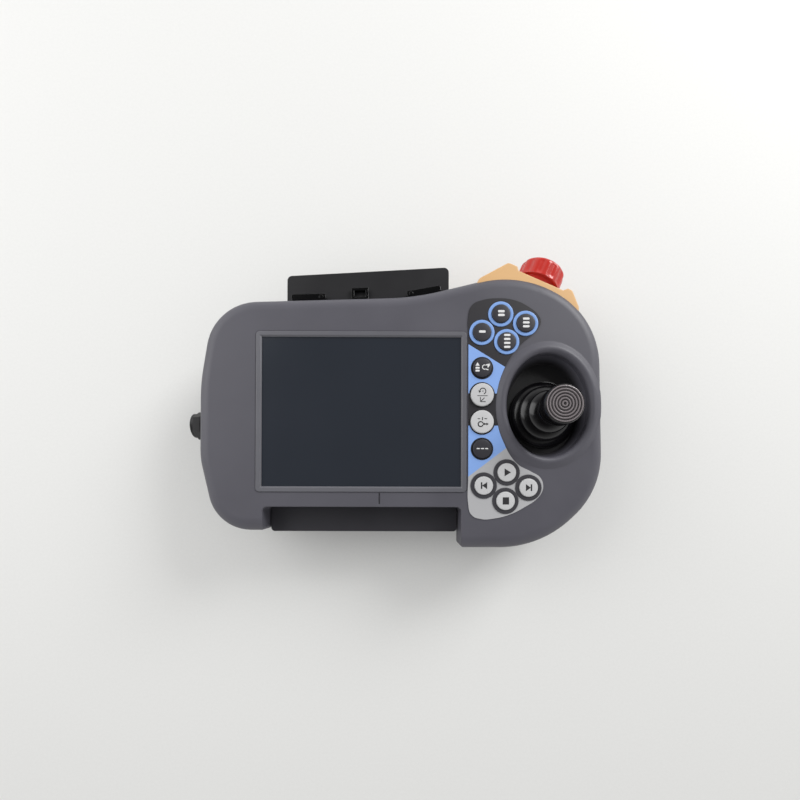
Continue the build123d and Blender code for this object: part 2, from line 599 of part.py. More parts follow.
def make_sensor():
    top = FRONT_Z - BOWL_DEPTH
    cup = rod(STICK_X, STICK_Y, SENSOR_R, SENSOR_FLOOR, top)
    cup -= rod(STICK_X, STICK_Y, SENSOR_R - SENSOR_WALL, SENSOR_FLOOR + 3, top + 1)
    ear_in = RING_R + 1.2
    ear_w = SENSOR_R - SENSOR_WALL + 0.5 - ear_in
    for side in (-1, 1):
        x = STICK_X + side * (ear_in + ear_w / 2)
        cup += box(x, STICK_Y, SENSOR_FLOOR + 2, ear_w, 8, top - SENSOR_FLOOR - 2)
    return cup - cross_rod(TRUNNION_R + RUN, ear_in + ear_w - 1.0, (1, 0, 0))


def cross_rod(radius, half, direction):
    """A rod through the joystick's centre of tilt."""
    plane = Plane(origin=(STICK_X, STICK_Y, PIVOT_Z), z_dir=direction)
    return plane * rod(0, 0, radius, -half, half)


def make_gimbal():
    low, high = PIVOT_Z - RING_T / 2, PIVOT_Z + RING_T / 2
    pins = cross_rod(TRUNNION_R, SENSOR_R - SENSOR_WALL - 1.0, (1, 0, 0))
    ring = rod(STICK_X, STICK_Y, RING_R, low, high) + pins
    ring -= rod(STICK_X, STICK_Y, RING_R - RING_W, low - 1, high + 1)
    return ring - cross_rod(TRUNNION_R + RUN, RING_R + 1, (0, 1, 0))


def make_stick():
    shaft = rod(STICK_X, STICK_Y, STICK_R, PIVOT_Z - 6, KNOB_BASE + 12)
    collar = rod(STICK_X, STICK_Y, STICK_R + 3, KNOB_BASE - 3.5, KNOB_BASE - 0.2)
    return shaft + collar + cross_rod(TRUNNION_R, RING_R - 0.2, (0, 1, 0))


def make_knob():
    top = FRONT_Z + KNOB_TOP
    profile = [(0, KNOB_BASE), (KNOB_R - 3, KNOB_BASE), (KNOB_R, KNOB_BASE + 5), (KNOB_R, top - 2)]
    pitch = (KNOB_R - 1.5) / KNOB_RIBS
    for i in range(KNOB_RIBS):
        outer = KNOB_R - 1 - i * pitch
        profile += [(outer, top), (outer - 0.7 * pitch, top - 0.2), (outer - 0.85 * pitch, top - 1)]
    profile.append((0, top - 0.6))
    knob = Pos(STICK_X, STICK_Y) * turned(profile)
    return knob - rod(STICK_X, STICK_Y, STICK_R + RUN, KNOB_BASE - 1, KNOB_BASE + 12.3)


def boot_fold(index, share):
    """Radius and height on the boot's outside: crests shrink towards the knob."""
    low, high = BOWL_FLOOR + 1.5, KNOB_BASE - 4.0
    t = (index + share) / BOOT_FOLDS
    crest = BOOT_R - (BOOT_R - STICK_R - 5.5) * t
    return (crest - BOOT_FOLD if share else crest, low + (high - low) * t)


def boot_profile(first, last):
    """Outside up, inside down: a thin wall that folds in and out."""
    outside = [boot_fold(i, share) for i in range(first, last) for share in (0.0, 0.5)]
    outside.append(boot_fold(last, 0.0))
    return outside + [(r - BOOT_WALL, z) for r, z in reversed(outside)]


def make_boot_lower():
    """The folds that ring and housing hold between them, with the flange in the bowl."""
    flange_r = BOOT_R + 0.8
    low = BOWL_FLOOR + SOFT_GAP
    folds = boot_profile(0, 2)
    flange = [(BOOT_R - BOOT_WALL, low), (flange_r, low), (flange_r, low + 1.2)]
    return Pos(STICK_X, STICK_Y) * turned(flange + folds)


def make_boot_upper():
    """The folds up to the stick's collar."""
    folds = boot_profile(2, BOOT_FOLDS)
    lifted = [(r, z + (0.25 if i in (0, len(folds) - 1) else 0)) for i, (r, z) in enumerate(folds)]
    return Pos(STICK_X, STICK_Y) * turned(lifted)


# ---- Cable gland ------------------------------------------------------------------------------
def gland_rod(radius, inside, outside):
    """A rod through the left wall, from so far inside the outline to so far outside."""
    plane = Plane(origin=(BODY_LEFT, GLAND_Y, GLAND_Z), x_dir=(0, 1, 0), z_dir=(-1, 0, 0))
    return plane * rod(0, 0, radius, inside, outside)


def gland_hex(low, high):
    plane = Plane(origin=(BODY_LEFT, GLAND_Y, GLAND_Z), x_dir=(0, 1, 0), z_dir=(-1, 0, 0))
    hexagon = RegularPolygon(GLAND_FLATS / 2, 6, major_radius=False)
    return plane * prism(hexagon, low, high)


def make_gland_body():
    neck = GLAND_FLANGE + GLAND_NUT - 3.0
    body = gland_rod(GLAND_R, -GLAND_INSIDE, 0.3) + gland_hex(0.3, GLAND_FLANGE)
    body += gland_rod(GLAND_R - 1.2, GLAND_FLANGE - 1, neck)
    return body - gland_rod(GLAND_BORE_R, -GLAND_INSIDE - 1, neck + 1)


def make_gland_nut():
    low, high = GLAND_FLANGE + 0.3, GLAND_FLANGE + GLAND_NUT
    nut = gland_hex(low, high - 2.5) + gland_rod(GLAND_FLATS / 2, low, high)
    nut = nut - gland_rod(GLAND_R - 1.2 + RUN, low - 1, high - 1.2)
    return nut - gland_rod(GLAND_BORE_R + 1.0, low, high + 1)


def make_gland_seal():
    low = GLAND_FLANGE + GLAND_NUT - 3.0 + 0.02
    ring = gland_rod(GLAND_R - 1.3, low, low + 1.7)
    return ring - gland_rod(GLAND_BORE_R, low - 1, low + 3)


# ---- Strap --------------------------------------------------------------------------------------
def edge_slope():
    return (ANCHOR_RIGHT_TOP - ANCHOR_LEFT_TOP) / (ANCHOR_RIGHT - ANCHOR_LEFT)


def make_upper_anchor():
    corners = [
        (ANCHOR_LEFT, TOP_EDGE - 8),
        (ANCHOR_LEFT, ANCHOR_LEFT_TOP),
        (ANCHOR_RIGHT, ANCHOR_RIGHT_TOP),
        (ANCHOR_RIGHT, TOP_EDGE - 8),
    ]
    face = make_face(FilletPolyline(*corners, radius=[0, 4, 4, 0], close=True))
    return prism(face - outline(-SEAT), ANCHOR_BACK, ANCHOR_BACK + ANCHOR_T)


def make_lower_anchor():
    width = NOTCH_RIGHT - NOTCH_LEFT - 2
    height = NOTCH_TOP - LOWER_ANCHOR_BOTTOM + 2
    centre = ((NOTCH_RIGHT + NOTCH_LEFT) / 2, NOTCH_TOP + 2 - height / 2)
    face = Pos(*centre) * RectangleRounded(width, height, 3.0) - outline(-SEAT)
    return prism(face, ANCHOR_BACK, ANCHOR_BACK + LOWER_ANCHOR_T)


def make_strap():
    """A padded band from anchor to anchor, round the back of the hand."""
    path_top = ANCHOR_BACK - SOFT_GAP
    middle = STRAP_LIFT + STRAP_T / 2

    def line(shift):
        points = [
            (STRAP_TOP_Y + shift, path_top),
            (STRAP_TOP_Y + shift, middle - shift),
            (STRAP_BOTTOM_Y - shift, middle - shift),
            (STRAP_BOTTOM_Y - shift, path_top),
        ]
        return FilletPolyline(*points, radius=STRAP_BEND + shift)

    outer, inner = line(STRAP_T / 2), line(-STRAP_T / 2)
    ends = [Line(outer @ 0, inner @ 0), Line(outer @ 1, inner @ 1)]
    band = make_face([*outer.edges(), *inner.edges(), *[e for end in ends for e in end.edges()]])
    plane = Plane(origin=(STRAP_X - STRAP_W / 2, 0, 0), x_dir=(0, 1, 0), z_dir=(1, 0, 0))
    return plane * extrude(band, STRAP_W)


def edge_y(x):
    """Where the outline's top edge runs, to seat the clips beside it."""
    strip = outline() & Pos(x, TOP_EDGE) * Rectangle(0.2, 80)
    return strip.bounding_box().max.Y


def make_clip(x, inward):
    """A latch on the anchor's front, with a thumb bump at the end nearest the middle."""
    level = ANCHOR_BACK + ANCHOR_T
    y = edge_y(x) + CLIP_W / 2 + 4.0
    bar = fillet(box(0, 0, level, CLIP_L, CLIP_W, CLIP_H).edges().filter_by(Axis.Z), 1.5)
    bump = rod(inward * (CLIP_L / 2 - 3.5), 0, 1.6, level + CLIP_H - 0.5, level + CLIP_H + 0.8)
    slope = degrees(atan2(edge_y(x + CLIP_L / 2) - edge_y(x - CLIP_L / 2), CLIP_L))
    return Pos(x, y) * Rot(0, 0, slope) * (bar + bump)


def make_tab():
    """A small loop that stands on the anchor's front."""
    level = ANCHOR_BACK + ANCHOR_T
    loop = box(0, 0, level, TAB_L, TAB_W, TAB_H)
    loop -= box(0, 0, level - 1, TAB_L - 2 * TAB_BAR, TAB_W - 2 * TAB_BAR, TAB_H + 2)
    x = (ANCHOR_LEFT + ANCHOR_RIGHT) / 2 - 6.5
    return Pos(x, edge_y(x) + TAB_W / 2 + 4.0) * Rot(0, 0, 2.5) * loop


# ---- Enabling lever ---------------------------------------------------------------------------
GRIP_WALL_X = GRIP_X - GRIP_W / 2
LEVER_PIN_X = GRIP_WALL_X + LEVER_PIN_IN
LEVER_L = TRAY_L - 2 * TRAY_WALL - 1.0


def along_y(x, z, radius, half):
    plane = Plane(origin=(x, GRIP_Y, z), x_dir=(1, 0, 0), z_dir=(0, 1, 0))
    return plane * rod(0, 0, radius, -half, half)


def make_tray():
    tray = tray_box() - Pos(-TRAY_WALL, 0, 0) * tray_box(-TRAY_WALL)
    return tray - along_y(LEVER_PIN_X, LEVER_PIN_Z, LEVER_PIN_R + RUN, TRAY_L / 2 + 1)


def make_lever_pin():
    return along_y(LEVER_PIN_X, LEVER_PIN_Z, LEVER_PIN_R, TRAY_L / 2 - 0.2)


def make_lever():
    out = GRIP_WALL_X - LEVER_PROUD
    inner = out + LEVER_T
    pusher = GRIP_WALL_X + PLUNGER_OUT - 0.4
    corners = [
        ((out, LEVER_BOTTOM), 1.2),
        ((inner, LEVER_BOTTOM), 0),
        ((inner, PLUNGER_Z - 2.2), 0),
        ((pusher, PLUNGER_Z - 1.2), 0),
        ((pusher, PLUNGER_Z + 1.2), 0),
        ((inner, PLUNGER_Z + 3.4), 0),
        ((inner, LEVER_PIN_Z - 2.0), 0),
        ((LEVER_PIN_X, LEVER_PIN_Z - LEVER_BARREL_R + 0.2), 0),
        ((LEVER_PIN_X, LEVER_PIN_Z + 1.4), 0),
        ((inner, LEVER_TOP - 1.0), 0),
        ((out, LEVER_TOP), 2.0),
    ]
    wire = FilletPolyline(*[p for p, _ in corners], radius=[r for _, r in corners], close=True)
    plane = Plane(origin=(0, GRIP_Y + LEVER_L / 2, 0), x_dir=(1, 0, 0), z_dir=(0, -1, 0))
    lever = plane * extrude(make_face(wire), LEVER_L)
    lever += along_y(LEVER_PIN_X, LEVER_PIN_Z, LEVER_BARREL_R, LEVER_L / 2)
    return lever - along_y(LEVER_PIN_X, LEVER_PIN_Z, LEVER_PIN_R + RUN, LEVER_L)


def plunger_rod(radius, start, length):
    plane = Plane(origin=(start, GRIP_Y, PLUNGER_Z), x_dir=(0, 1, 0), z_dir=(1, 0, 0))
    return plane * rod(0, 0, radius, 0, length)


def make_enable_plunger():
    return plunger_rod(PLUNGER_R, GRIP_WALL_X + PLUNGER_OUT, PLUNGER_L)


def make_enable_switch():
    back = GRIP_WALL_X + TRAY_D - TRAY_WALL
    centre = (back - ENABLE_D / 2, GRIP_Y, PLUNGER_Z)
    block = Pos(*centre) * Box(ENABLE_D, ENABLE_W, ENABLE_H - 0.4)
    return block - plunger_rod(PLUNGER_R + RUN, back - ENABLE_D - 1, ENABLE_D + 0.7)


# ---- Stylus, reset button, USB socket ----------------------------------------------------------
def make_stylus():
    start = STYLUS_WALL_Y - STYLUS_OUT
    end = start + STYLUS_L
    shaft = stylus_tube(STYLUS_R, start, end - STYLUS_TIP)
    plane = Plane(origin=(STYLUS_X, end - STYLUS_TIP, STYLUS_Z), x_dir=(1, 0, 0), z_dir=(0, 1, 0))
    tip = plane * (Pos(0, 0, STYLUS_TIP / 2) * Cone(STYLUS_R, 1.0, STYLUS_TIP))
    return shaft + tip


def make_reset_button():
    low = BACK_Z + RESET_SINK
    top = MAIN_Z - SWITCH_T - RESET_TRAVEL - 0.1
    stem = rod(RESET_X, RESET_Y, RESET_R, low, top)
    return stem + rod(RESET_X, RESET_Y, RESET_R + 1.2, FLOOR_Z + 0.2, FLOOR_Z + 1.2)


def make_reset_switch():
    return box(RESET_X, RESET_Y, MAIN_Z - SWITCH_T, SWITCH_W, SWITCH_W, SWITCH_T)


def make_usb_socket():
    low = -SOCKET_L - USB_SINK
    can = box(0, 0, low, SOCKET_W, SOCKET_H, SOCKET_L)
    inside_w, inside_h = SOCKET_W - 2 * SOCKET_WALL, SOCKET_H - 2 * SOCKET_WALL
    can -= box(0, 0, low + 1.5, inside_w, inside_h, SOCKET_L)
    tongue = box(0, inside_h / 4, low + 1, inside_w - 1.4, 1.8, SOCKET_L - 2)
    return USB_PLANE * (can + tongue)


COVER_AXIS_Y = USB_H / 2 - SLIP - COVER_T / 2  # towards the back of the pendant
COVER_AXIS_Z = -USB_SINK + 0.2 + COVER_T / 2


def cover_pin(side, radius, reach):
    """The cover's hinge stub at one end, or the hole for it."""
    start = USB_W / 2 - 1.0
    plane = Plane(origin=(0, COVER_AXIS_Y, COVER_AXIS_Z), x_dir=(0, 1, 0), z_dir=(side, 0, 0))
    return USB_PLANE * (plane * rod(0, 0, radius, start, start + 1.0 + reach))


def make_usb_cover():
    width = USB_W - 2 * SLIP
    low = COVER_AXIS_Z - COVER_T / 2
    length = COVER_AXIS_Y + USB_H / 2 - SLIP
    plate = box(0, COVER_AXIS_Y - length / 2, low, width, length, COVER_T)
    barrel = Plane(origin=(-width / 2, COVER_AXIS_Y, COVER_AXIS_Z), z_dir=(1, 0, 0)) * rod(
        0, 0, COVER_T / 2, 0, width
    )
    cover = USB_PLANE * (plate + barrel)
    return cover + cover_pin(-1, COVER_PIN_R, COVER_PIN) + cover_pin(1, COVER_PIN_R, COVER_PIN)


# ---- The pendant ------------------------------------------------------------------------------
def make_all():
    parts = {
        "front_housing": make_front_housing(),
        "rear_housing": make_rear_housing(),
        "housing_gasket": make_gasket(),
        "screen_bezel": make_bezel(),
        "touch_glass": make_glass(),
        "display_module": make_display(),
        "main_board": make_main_board(),
        "keypad_overlay": make_overlay(),
        "keypad_board": make_key_board(),
        "keypad_switches": make_key_switches(),
        "joystick_bowl": make_bowl(),
        "joystick_sensor": make_sensor(),
        "joystick_gimbal": make_gimbal(),
        "joystick_stick": make_stick(),
        "joystick_knob": make_knob(),
        "joystick_boot_lower": make_boot_lower(),
        "joystick_boot_upper": make_boot_upper(),
        "stop_housing": make_stop_housing(),
        "stop_head": make_stop_head(),
        "stop_plunger": make_stop_plunger(),
        "stop_contacts": make_stop_contacts(),
        "gland_body": make_gland_body(),
        "gland_nut": make_gland_nut(),
        "gland_seal": make_gland_seal(),
        "strap_anchor_upper": make_upper_anchor(),
        "strap_anchor_lower": make_lower_anchor(),
        "strap_clip_left": make_clip(-71.5, 1),
        "strap_clip_right": make_clip(23.5, -1),
        "strap_tab": make_tab(),
        "hand_strap": make_strap(),
        "enable_tray": make_tray(),
        "enable_pin": make_lever_pin(),
        "enable_lever": make_lever(),
        "enable_plunger": make_enable_plunger(),
        "enable_switch": make_enable_switch(),
        "stylus": make_stylus(),
        "reset_button": make_reset_button(),
        "reset_switch": make_reset_switch(),
        "usb_socket": make_usb_socket(),
        "usb_cover": make_usb_cover(),
    }
    for name, (x, y), radius, _ in KEYS:
        parts[name] = make_key(x, y, radius)
    for number, (x, y) in enumerate(SCREWS, 1):
        parts[f"housing_screw_{number}"] = make_screw(x, y)
    return parts


def footprint_centre(parts):
    """The middle of everything seen from above, and the lowest level."""
    boxes = [part.bounding_box() for part in parts.values()]
    low = [min(tuple(b.min)[i] for b in boxes) for i in range(3)]
    high = [max(tuple(b.max)[i] for b in boxes) for i in range(3)]
    return ((low[0] + high[0]) / 2, (low[1] + high[1]) / 2, low[2])


PARTS = make_all()
ORIGIN = footprint_centre(PARTS)
os.makedirs("parts", exist_ok=True)
for name, part in PARTS.items():
    x, y, z = ORIGIN
    export_step(Pos(-x, -y, -z) * part, f"parts/{name}.step")
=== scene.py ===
# %% [markdown]
# # A teach pendant, dressed for a studio picture
# A teach pendant is the box that a person holds while showing an industrial robot how to move. The
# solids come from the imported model: they have the true sizes and the joints. This lesson adds what
# solids don't show: paint, print, rubber, fabric and light. Each step says what the thing is on the
# real pendant, how it could be made in Blender, and why it is made this way.

import math

import bpy
from mathutils import Matrix, Vector, noise


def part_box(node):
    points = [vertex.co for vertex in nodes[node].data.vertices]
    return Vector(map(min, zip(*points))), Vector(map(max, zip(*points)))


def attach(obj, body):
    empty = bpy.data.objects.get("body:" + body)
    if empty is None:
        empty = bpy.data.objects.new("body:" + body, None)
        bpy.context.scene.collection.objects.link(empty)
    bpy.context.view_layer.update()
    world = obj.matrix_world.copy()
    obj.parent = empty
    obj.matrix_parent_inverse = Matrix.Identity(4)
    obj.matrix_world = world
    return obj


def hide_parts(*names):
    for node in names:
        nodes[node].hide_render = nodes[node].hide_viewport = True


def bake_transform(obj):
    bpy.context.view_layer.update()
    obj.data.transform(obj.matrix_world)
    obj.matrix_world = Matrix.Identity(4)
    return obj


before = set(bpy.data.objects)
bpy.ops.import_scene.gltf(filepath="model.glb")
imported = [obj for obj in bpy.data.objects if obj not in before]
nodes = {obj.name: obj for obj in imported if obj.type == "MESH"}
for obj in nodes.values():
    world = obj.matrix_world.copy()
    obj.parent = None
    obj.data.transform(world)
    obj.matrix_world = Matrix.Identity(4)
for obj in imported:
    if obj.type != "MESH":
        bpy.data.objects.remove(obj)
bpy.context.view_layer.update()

# %% [markdown]
# ## One way to write places
# The solids were drawn in millimetres from a datum near the middle of the front. Blender works in
# metres from the middle of the footprint. The cover glass is known in both, so it gives the step
# from one to the other, and from then on every place can be written as it was drawn.

# %% Places in drawing millimetres
MM = 0.001
glass_low, glass_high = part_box("touch_glass")
datum = (glass_low + glass_high) / 2 - Vector((-26.1, -7.9, 0)) * MM
datum.z = 0


def at(x, y, z):
    """A place on the drawing, in metres."""
    return datum + Vector((x, y, z)) * MM


FACE = 70.0  # the front face's level
print("datum", [round(v * 1000, 2) for v in datum])

# %% [markdown]
# ## The camera
# The pendant lies on its back and the camera looks straight down on it, as close as a hand-held
# camera would be. The near joystick then looks larger than the far edges. The lens is short for the
# same reason. The frame is moved up a little on the film instead of tilting the camera, so that the
# screen's sides stay parallel.

# %% Camera
scene = bpy.context.scene
scene.view_settings.view_transform = "Standard"
camera = bpy.data.objects.new("camera", bpy.data.cameras.new("camera"))
scene.collection.objects.link(camera)
camera.location = at(6.38, -68.42, 378.91)
camera.rotation_euler = (0.0058, -0.0021, 0.0028)
camera.data.sensor_width = 36.0
camera.data.lens = 17.75
camera.data.shift_x = -0.0042
camera.data.shift_y = 0.1083
scene.camera = camera
print("camera at", [round(v, 4) for v in camera.location])

# %% [markdown]
# ## Building a material
# Every finish below is a small tree of nodes. One function adds a node, sets what the node is told
# and connects its inputs. Colours are written as they look on a screen, and Blender counts light,
# so one function turns the first into the second.


# %% Colour and node helpers
def linear(hex_colour):
    """A screen colour such as "#4b4b50" as the linear colour that Blender mixes."""
    out = []
    for i in (1, 3, 5):
        c = int(hex_colour[i : i + 2], 16) / 255
        out.append(c / 12.92 if c <= 0.04045 else ((c + 0.055) / 1.055) ** 2.4)
    return (*out, 1.0)


def add(tree, kind, inputs=None, **settings):
    """Adds one node. An input is a value, or another node's output to connect."""
    node = tree.nodes.new(kind)
    for name, value in settings.items():
        setattr(node, name, value)
    for name, value in (inputs or {}).items():
        if isinstance(value, bpy.types.NodeSocket):
            tree.links.new(value, node.inputs[name])
        else:
            node.inputs[name].default_value = value
    return node


def new_finish(name):
    """An empty material with its shader, and the place on the object that patterns start from."""
    material = bpy.data.materials.new(name)
    material.use_nodes = True
    tree = material.node_tree
    shader = tree.nodes["Principled BSDF"]
    place = tree.nodes.new("ShaderNodeTexCoord").outputs["Object"]
    return material, tree, shader, place


print("soft grey", [round(v, 3) for v in linear("#808080")])

# %% [markdown]
# ## Moulded and painted plastic
# Most of the pendant is moulded. The mould's spark-eroded surface leaves a fine grain, and handling
# leaves slightly smoother patches. A moulded edge is never sharp: it has a radius of about half a
# millimetre that catches the light, and it is where a finish wears first. The solids have sharp
# edges, so a Bevel node rounds them in the shading alone, and where its direction differs from the
# face's own, the surface is near an edge and gets a little lighter: wear on most pieces, and a
# painted highlight on the knob's grooved top. The same recipe with other numbers serves every
# moulded piece, so it is one function of the finish's own numbers. A real grain of 0.1 to 0.3 mm
# would be too fine to see here, so it is drawn about 0.8 mm across.
#
# Some pieces take a second colour above a certain height. The joystick's bowl is black below its rim
# as painted shade and takes the housing's grey at its rim, and the knob's crests get a lighter grey
# as a painted highlight while its grooves stay dark. For them `fade` gives the upper colour and the
# two heights between which it comes in.


# %% Moulded plastic
def mixed(tree, factor, low, high, blend="MIX"):
    """A colour between low and high, each a colour or another node's output."""
    sockets = {0: factor, 6: low, 7: high}
    mix = add(tree, "ShaderNodeMix", sockets, data_type="RGBA", blend_type=blend)
    return mix.outputs[2]


def moulded(
    name,
    colour,
    rough,
    grain_mm=0.8,
    grain=0.03,
    patch=0.06,
    wear_and_highlight=0.06,
    ior=1.5,
    edge_mm=0.6,
    fade=None,
):
    """A moulded plastic: colour, mould grain, handled patches and softened, lighter edges."""
    material, tree, shader, place = new_finish(name)
    patches = add(
        tree,
        "ShaderNodeTexNoise",
        {"Vector": place, "Scale": 1 / (45 * MM), "Detail": 3.0, "Roughness": 0.55},
    )
    sand = add(
        tree,
        "ShaderNodeTexNoise",
        {"Vector": place, "Scale": 1 / (grain_mm * MM), "Detail": 2.0},
    )
    rounded = add(tree, "ShaderNodeBevel", {"Radius": edge_mm * MM}, samples=4)
    facing = add(
        tree,
        "ShaderNodeVectorMath",
        {0: rounded.outputs["Normal"], 1: add(tree, "ShaderNodeNewGeometry").outputs["Normal"]},
        operation="DOT_PRODUCT",
    )
    # Lighter near edges: wear on most pieces, and a painted highlight on the knob's grooved top.
    edge_wear_and_highlight = add(
        tree,
        "ShaderNodeMapRange",
        {"Value": facing.outputs["Value"], "From Min": 0.99, "From Max": 0.75, "To Max": wear_and_highlight},
    )
    base = linear(colour)
    light = tuple(min(1, c * 1.10 + 0.002) for c in base[:3]) + (1,)
    dark = tuple(c * 0.92 for c in base[:3]) + (1,)
    tone = mixed(tree, patches.outputs["Fac"], dark, light)
    tone = mixed(tree, edge_wear_and_highlight.outputs["Result"], tone, linear("#c9c9cc"))
    # Bowl: the black below the rim is painted shade. Knob top: the grey above is a painted
    # highlight.
    if fade:
        above, start, end = fade
        height = add(tree, "ShaderNodeSeparateXYZ", {"Vector": place}).outputs["Z"]
        painted_shade_and_highlight_mask = add(
            tree,
            "ShaderNodeMapRange",
            {"Value": height, "From Min": start * MM, "From Max": end * MM},
            interpolation_type="SMOOTHSTEP",
        )
        tone = mixed(tree, painted_shade_and_highlight_mask.outputs["Result"], tone, linear(above))
    tree.links.new(tone, shader.inputs["Base Color"])
    matt = add(
        tree,
        "ShaderNodeMapRange",
        {
            "Value": patches.outputs["Fac"],
            "From Min": 0.3,
            "From Max": 0.7,
            "To Min": rough - patch,
            "To Max": rough + patch,
        },
    )
    tree.links.new(matt.outputs["Result"], shader.inputs["Roughness"])
    bump = add(
        tree,
        "ShaderNodeBump",
        {
            "Height": sand.outputs["Fac"],
            "Strength": 1.0,
            "Distance": grain * MM,
            "Normal": rounded.outputs["Normal"],
        },
    )
    tree.links.new(bump.outputs["Normal"], shader.inputs["Normal"])
    shader.inputs["IOR"].default_value = ior
    return material


print("grain drawn", 0.8, "mm, edges rounded", 0.6, "mm")

# %% [markdown]
# ## The other finishes
# Glass, printed film, rubber, fabric and metal each have a look of their own, so each gets its own
# tree. The display's cover glass is switched off here: the eye gets a blue-grey black from the dark
# liquid crystal and a faint, even reflection from the glass in front of it.


# %% Cover glass over a display that is off
def display_glass():
    """Hardened cover glass, IOR 1.52, over a display that is off."""
    material, tree, shader, place = new_finish("cover_glass_display_off")
    cloud = add(
        tree,
        "ShaderNodeTexNoise",
        {"Vector": place, "Scale": 1 / (70 * MM), "Detail": 1.0},
    )
    tone = mixed(tree, cloud.outputs["Fac"], linear("#292d34"), linear("#2c3038"))
    tree.links.new(tone, shader.inputs["Base Color"])
    smear = add(
        tree,
        "ShaderNodeMapRange",
        {"Value": cloud.outputs["Fac"], "To Min": 0.16, "To Max": 0.22},
    )
    tree.links.new(smear.outputs["Result"], shader.inputs["Roughness"])
    shader.inputs["IOR"].default_value = 1.52
    return material


# %% [markdown]
# ## The printed film
# The key field is a sheet of textured polyester, printed in flat areas of charcoal, blue and pale
# grey. The print meets along straight edges. An image could carry it, but a picture file isn't
# needed for straight edges: each is a line across the drawing, and a node can say which side of the
# line a point is on. The film's own texture is a fine sand of about 0.2 mm, drawn at 0.5 mm.


# %% Printed film
CHARCOAL, SKY, PALE = "#222025", "#80a5e2", "#adadaf"


def side_of_line(tree, place, start, end):
    """1 on the left of the line from start to end, in drawing millimetres, and 0 on its right."""
    a, b = at(*start, 0), at(*end, 0)
    along = (b - a).normalized()
    left = Vector((-along.y, along.x, 0))
    reach = add(
        tree, "ShaderNodeVectorMath", {0: place, 1: left}, operation="DOT_PRODUCT"
    )
    return add(
        tree,
        "ShaderNodeMath",
        {0: reach.outputs["Value"], 1: a.dot(left)},
        operation="GREATER_THAN",
    ).outputs[0]


def printed_film():
    """Polyester film, IOR 1.57, screen printed on its back in three colours."""
    material, tree, shader, place = new_finish("printed_polyester_film")
    edges = [
        ((86.3, 27.5), (57.8, 45.1), SKY),  # blue below the four upper keys
        ((110.0, 6.55), (50.0, 6.55), CHARCOAL),  # charcoal round the two pale keys
        ((110.0, -18.7), (50.0, -18.7), SKY),  # blue again
        ((87.8, -35.9), (59.5, -57.4), PALE),  # pale below the step key
    ]
    colour = linear(CHARCOAL)
    for start, end, below in edges:
        colour = mixed(tree, side_of_line(tree, place, start, end), colour, linear(below))
    sand = add(
        tree,
        "ShaderNodeTexNoise",
        {"Vector": place, "Scale": 1 / (0.5 * MM), "Detail": 2.0},
    )
    tree.links.new(colour, shader.inputs["Base Color"])
    sheen = add(
        tree,
        "ShaderNodeMapRange",
        {"Value": sand.outputs["Fac"], "To Min": 0.42, "To Max": 0.54},
    )
    tree.links.new(sheen.outputs["Result"], shader.inputs["Roughness"])
    bump = add(
        tree,
        "ShaderNodeBump",
        {"Height": sand.outputs["Fac"], "Strength": 1.0, "Distance": 0.012 * MM},
    )
    tree.links.new(bump.outputs["Normal"], shader.inputs["Normal"])
    shader.inputs["IOR"].default_value = 1.57
    return material


# %% [markdown]
# ## Rubber, metal, circuit board and fabric
# The joystick's boot is polished nitrile rubber: black, with sharp highlights and a faint bloom
# where it has been flexed. Metal parts are turned or pressed, and their fine lines stretch the
# highlight. The circuit board's green lacquer shows its copper tracks as paler paths. The strap is
# polyester webbing over foam: its yarns cross every 0.6 mm, drawn at 1.0 mm to be seen.


# %% Rubber
def polished_rubber(name, colour, rough):
    """Nitrile rubber, IOR 1.52, with a faint bloom."""
    material, tree, shader, place = new_finish(name)
    bloom = add(
        tree,
        "ShaderNodeTexNoise",
        {"Vector": place, "Scale": 1 / (9 * MM), "Detail": 4.0, "Roughness": 0.6},
    )
    base = linear(colour)
    dark = tuple(c * 0.8 for c in base[:3]) + (1,)
    light = tuple(c * 1.25 + 0.001 for c in base[:3]) + (1,)
    tree.links.new(mixed(tree, bloom.outputs["Fac"], dark, light), shader.inputs["Base Color"])
    gloss = add(
        tree,
        "ShaderNodeMapRange",
        {
            "Value": bloom.outputs["Fac"],
            "From Min": 0.35,
            "From Max": 0.65,
            "To Min": rough - 0.05,
            "To Max": rough + 0.08,
        },
    )
    tree.links.new(gloss.outputs["Result"], shader.inputs["Roughness"])
    bump = add(
        tree,
        "ShaderNodeBump",
        {"Height": bloom.outputs["Fac"], "Strength": 1.0, "Distance": 0.05 * MM},
    )
    tree.links.new(bump.outputs["Normal"], shader.inputs["Normal"])
    shader.inputs["IOR"].default_value = 1.52
    return material


# %% Metal
def turned_metal(name, colour, rough):
    """Plated or stainless steel with fine tool lines, drawn every 0.4 mm."""
    material, tree, shader, place = new_finish(name)
    stretched = add(
        tree, "ShaderNodeMapping", {"Vector": place, "Scale": (200, 200, 2500)}
    )
    lines = add(
        tree,
        "ShaderNodeTexNoise",
        {"Vector": stretched.outputs["Vector"], "Scale": 1.0, "Detail": 2.0},
    )
    tone = add(
        tree,
        "ShaderNodeMapRange",
        {"Value": lines.outputs["Fac"], "To Min": rough - 0.06, "To Max": rough + 0.08},
    )
    tree.links.new(tone.outputs["Result"], shader.inputs["Roughness"])
    shader.inputs["Base Color"].default_value = linear(colour)
    shader.inputs["Metallic"].default_value = 1.0
    bump = add(
        tree,
        "ShaderNodeBump",
        {"Height": lines.outputs["Fac"], "Strength": 1.0, "Distance": 0.01 * MM},
    )
    tree.links.new(bump.outputs["Normal"], shader.inputs["Normal"])
    return material


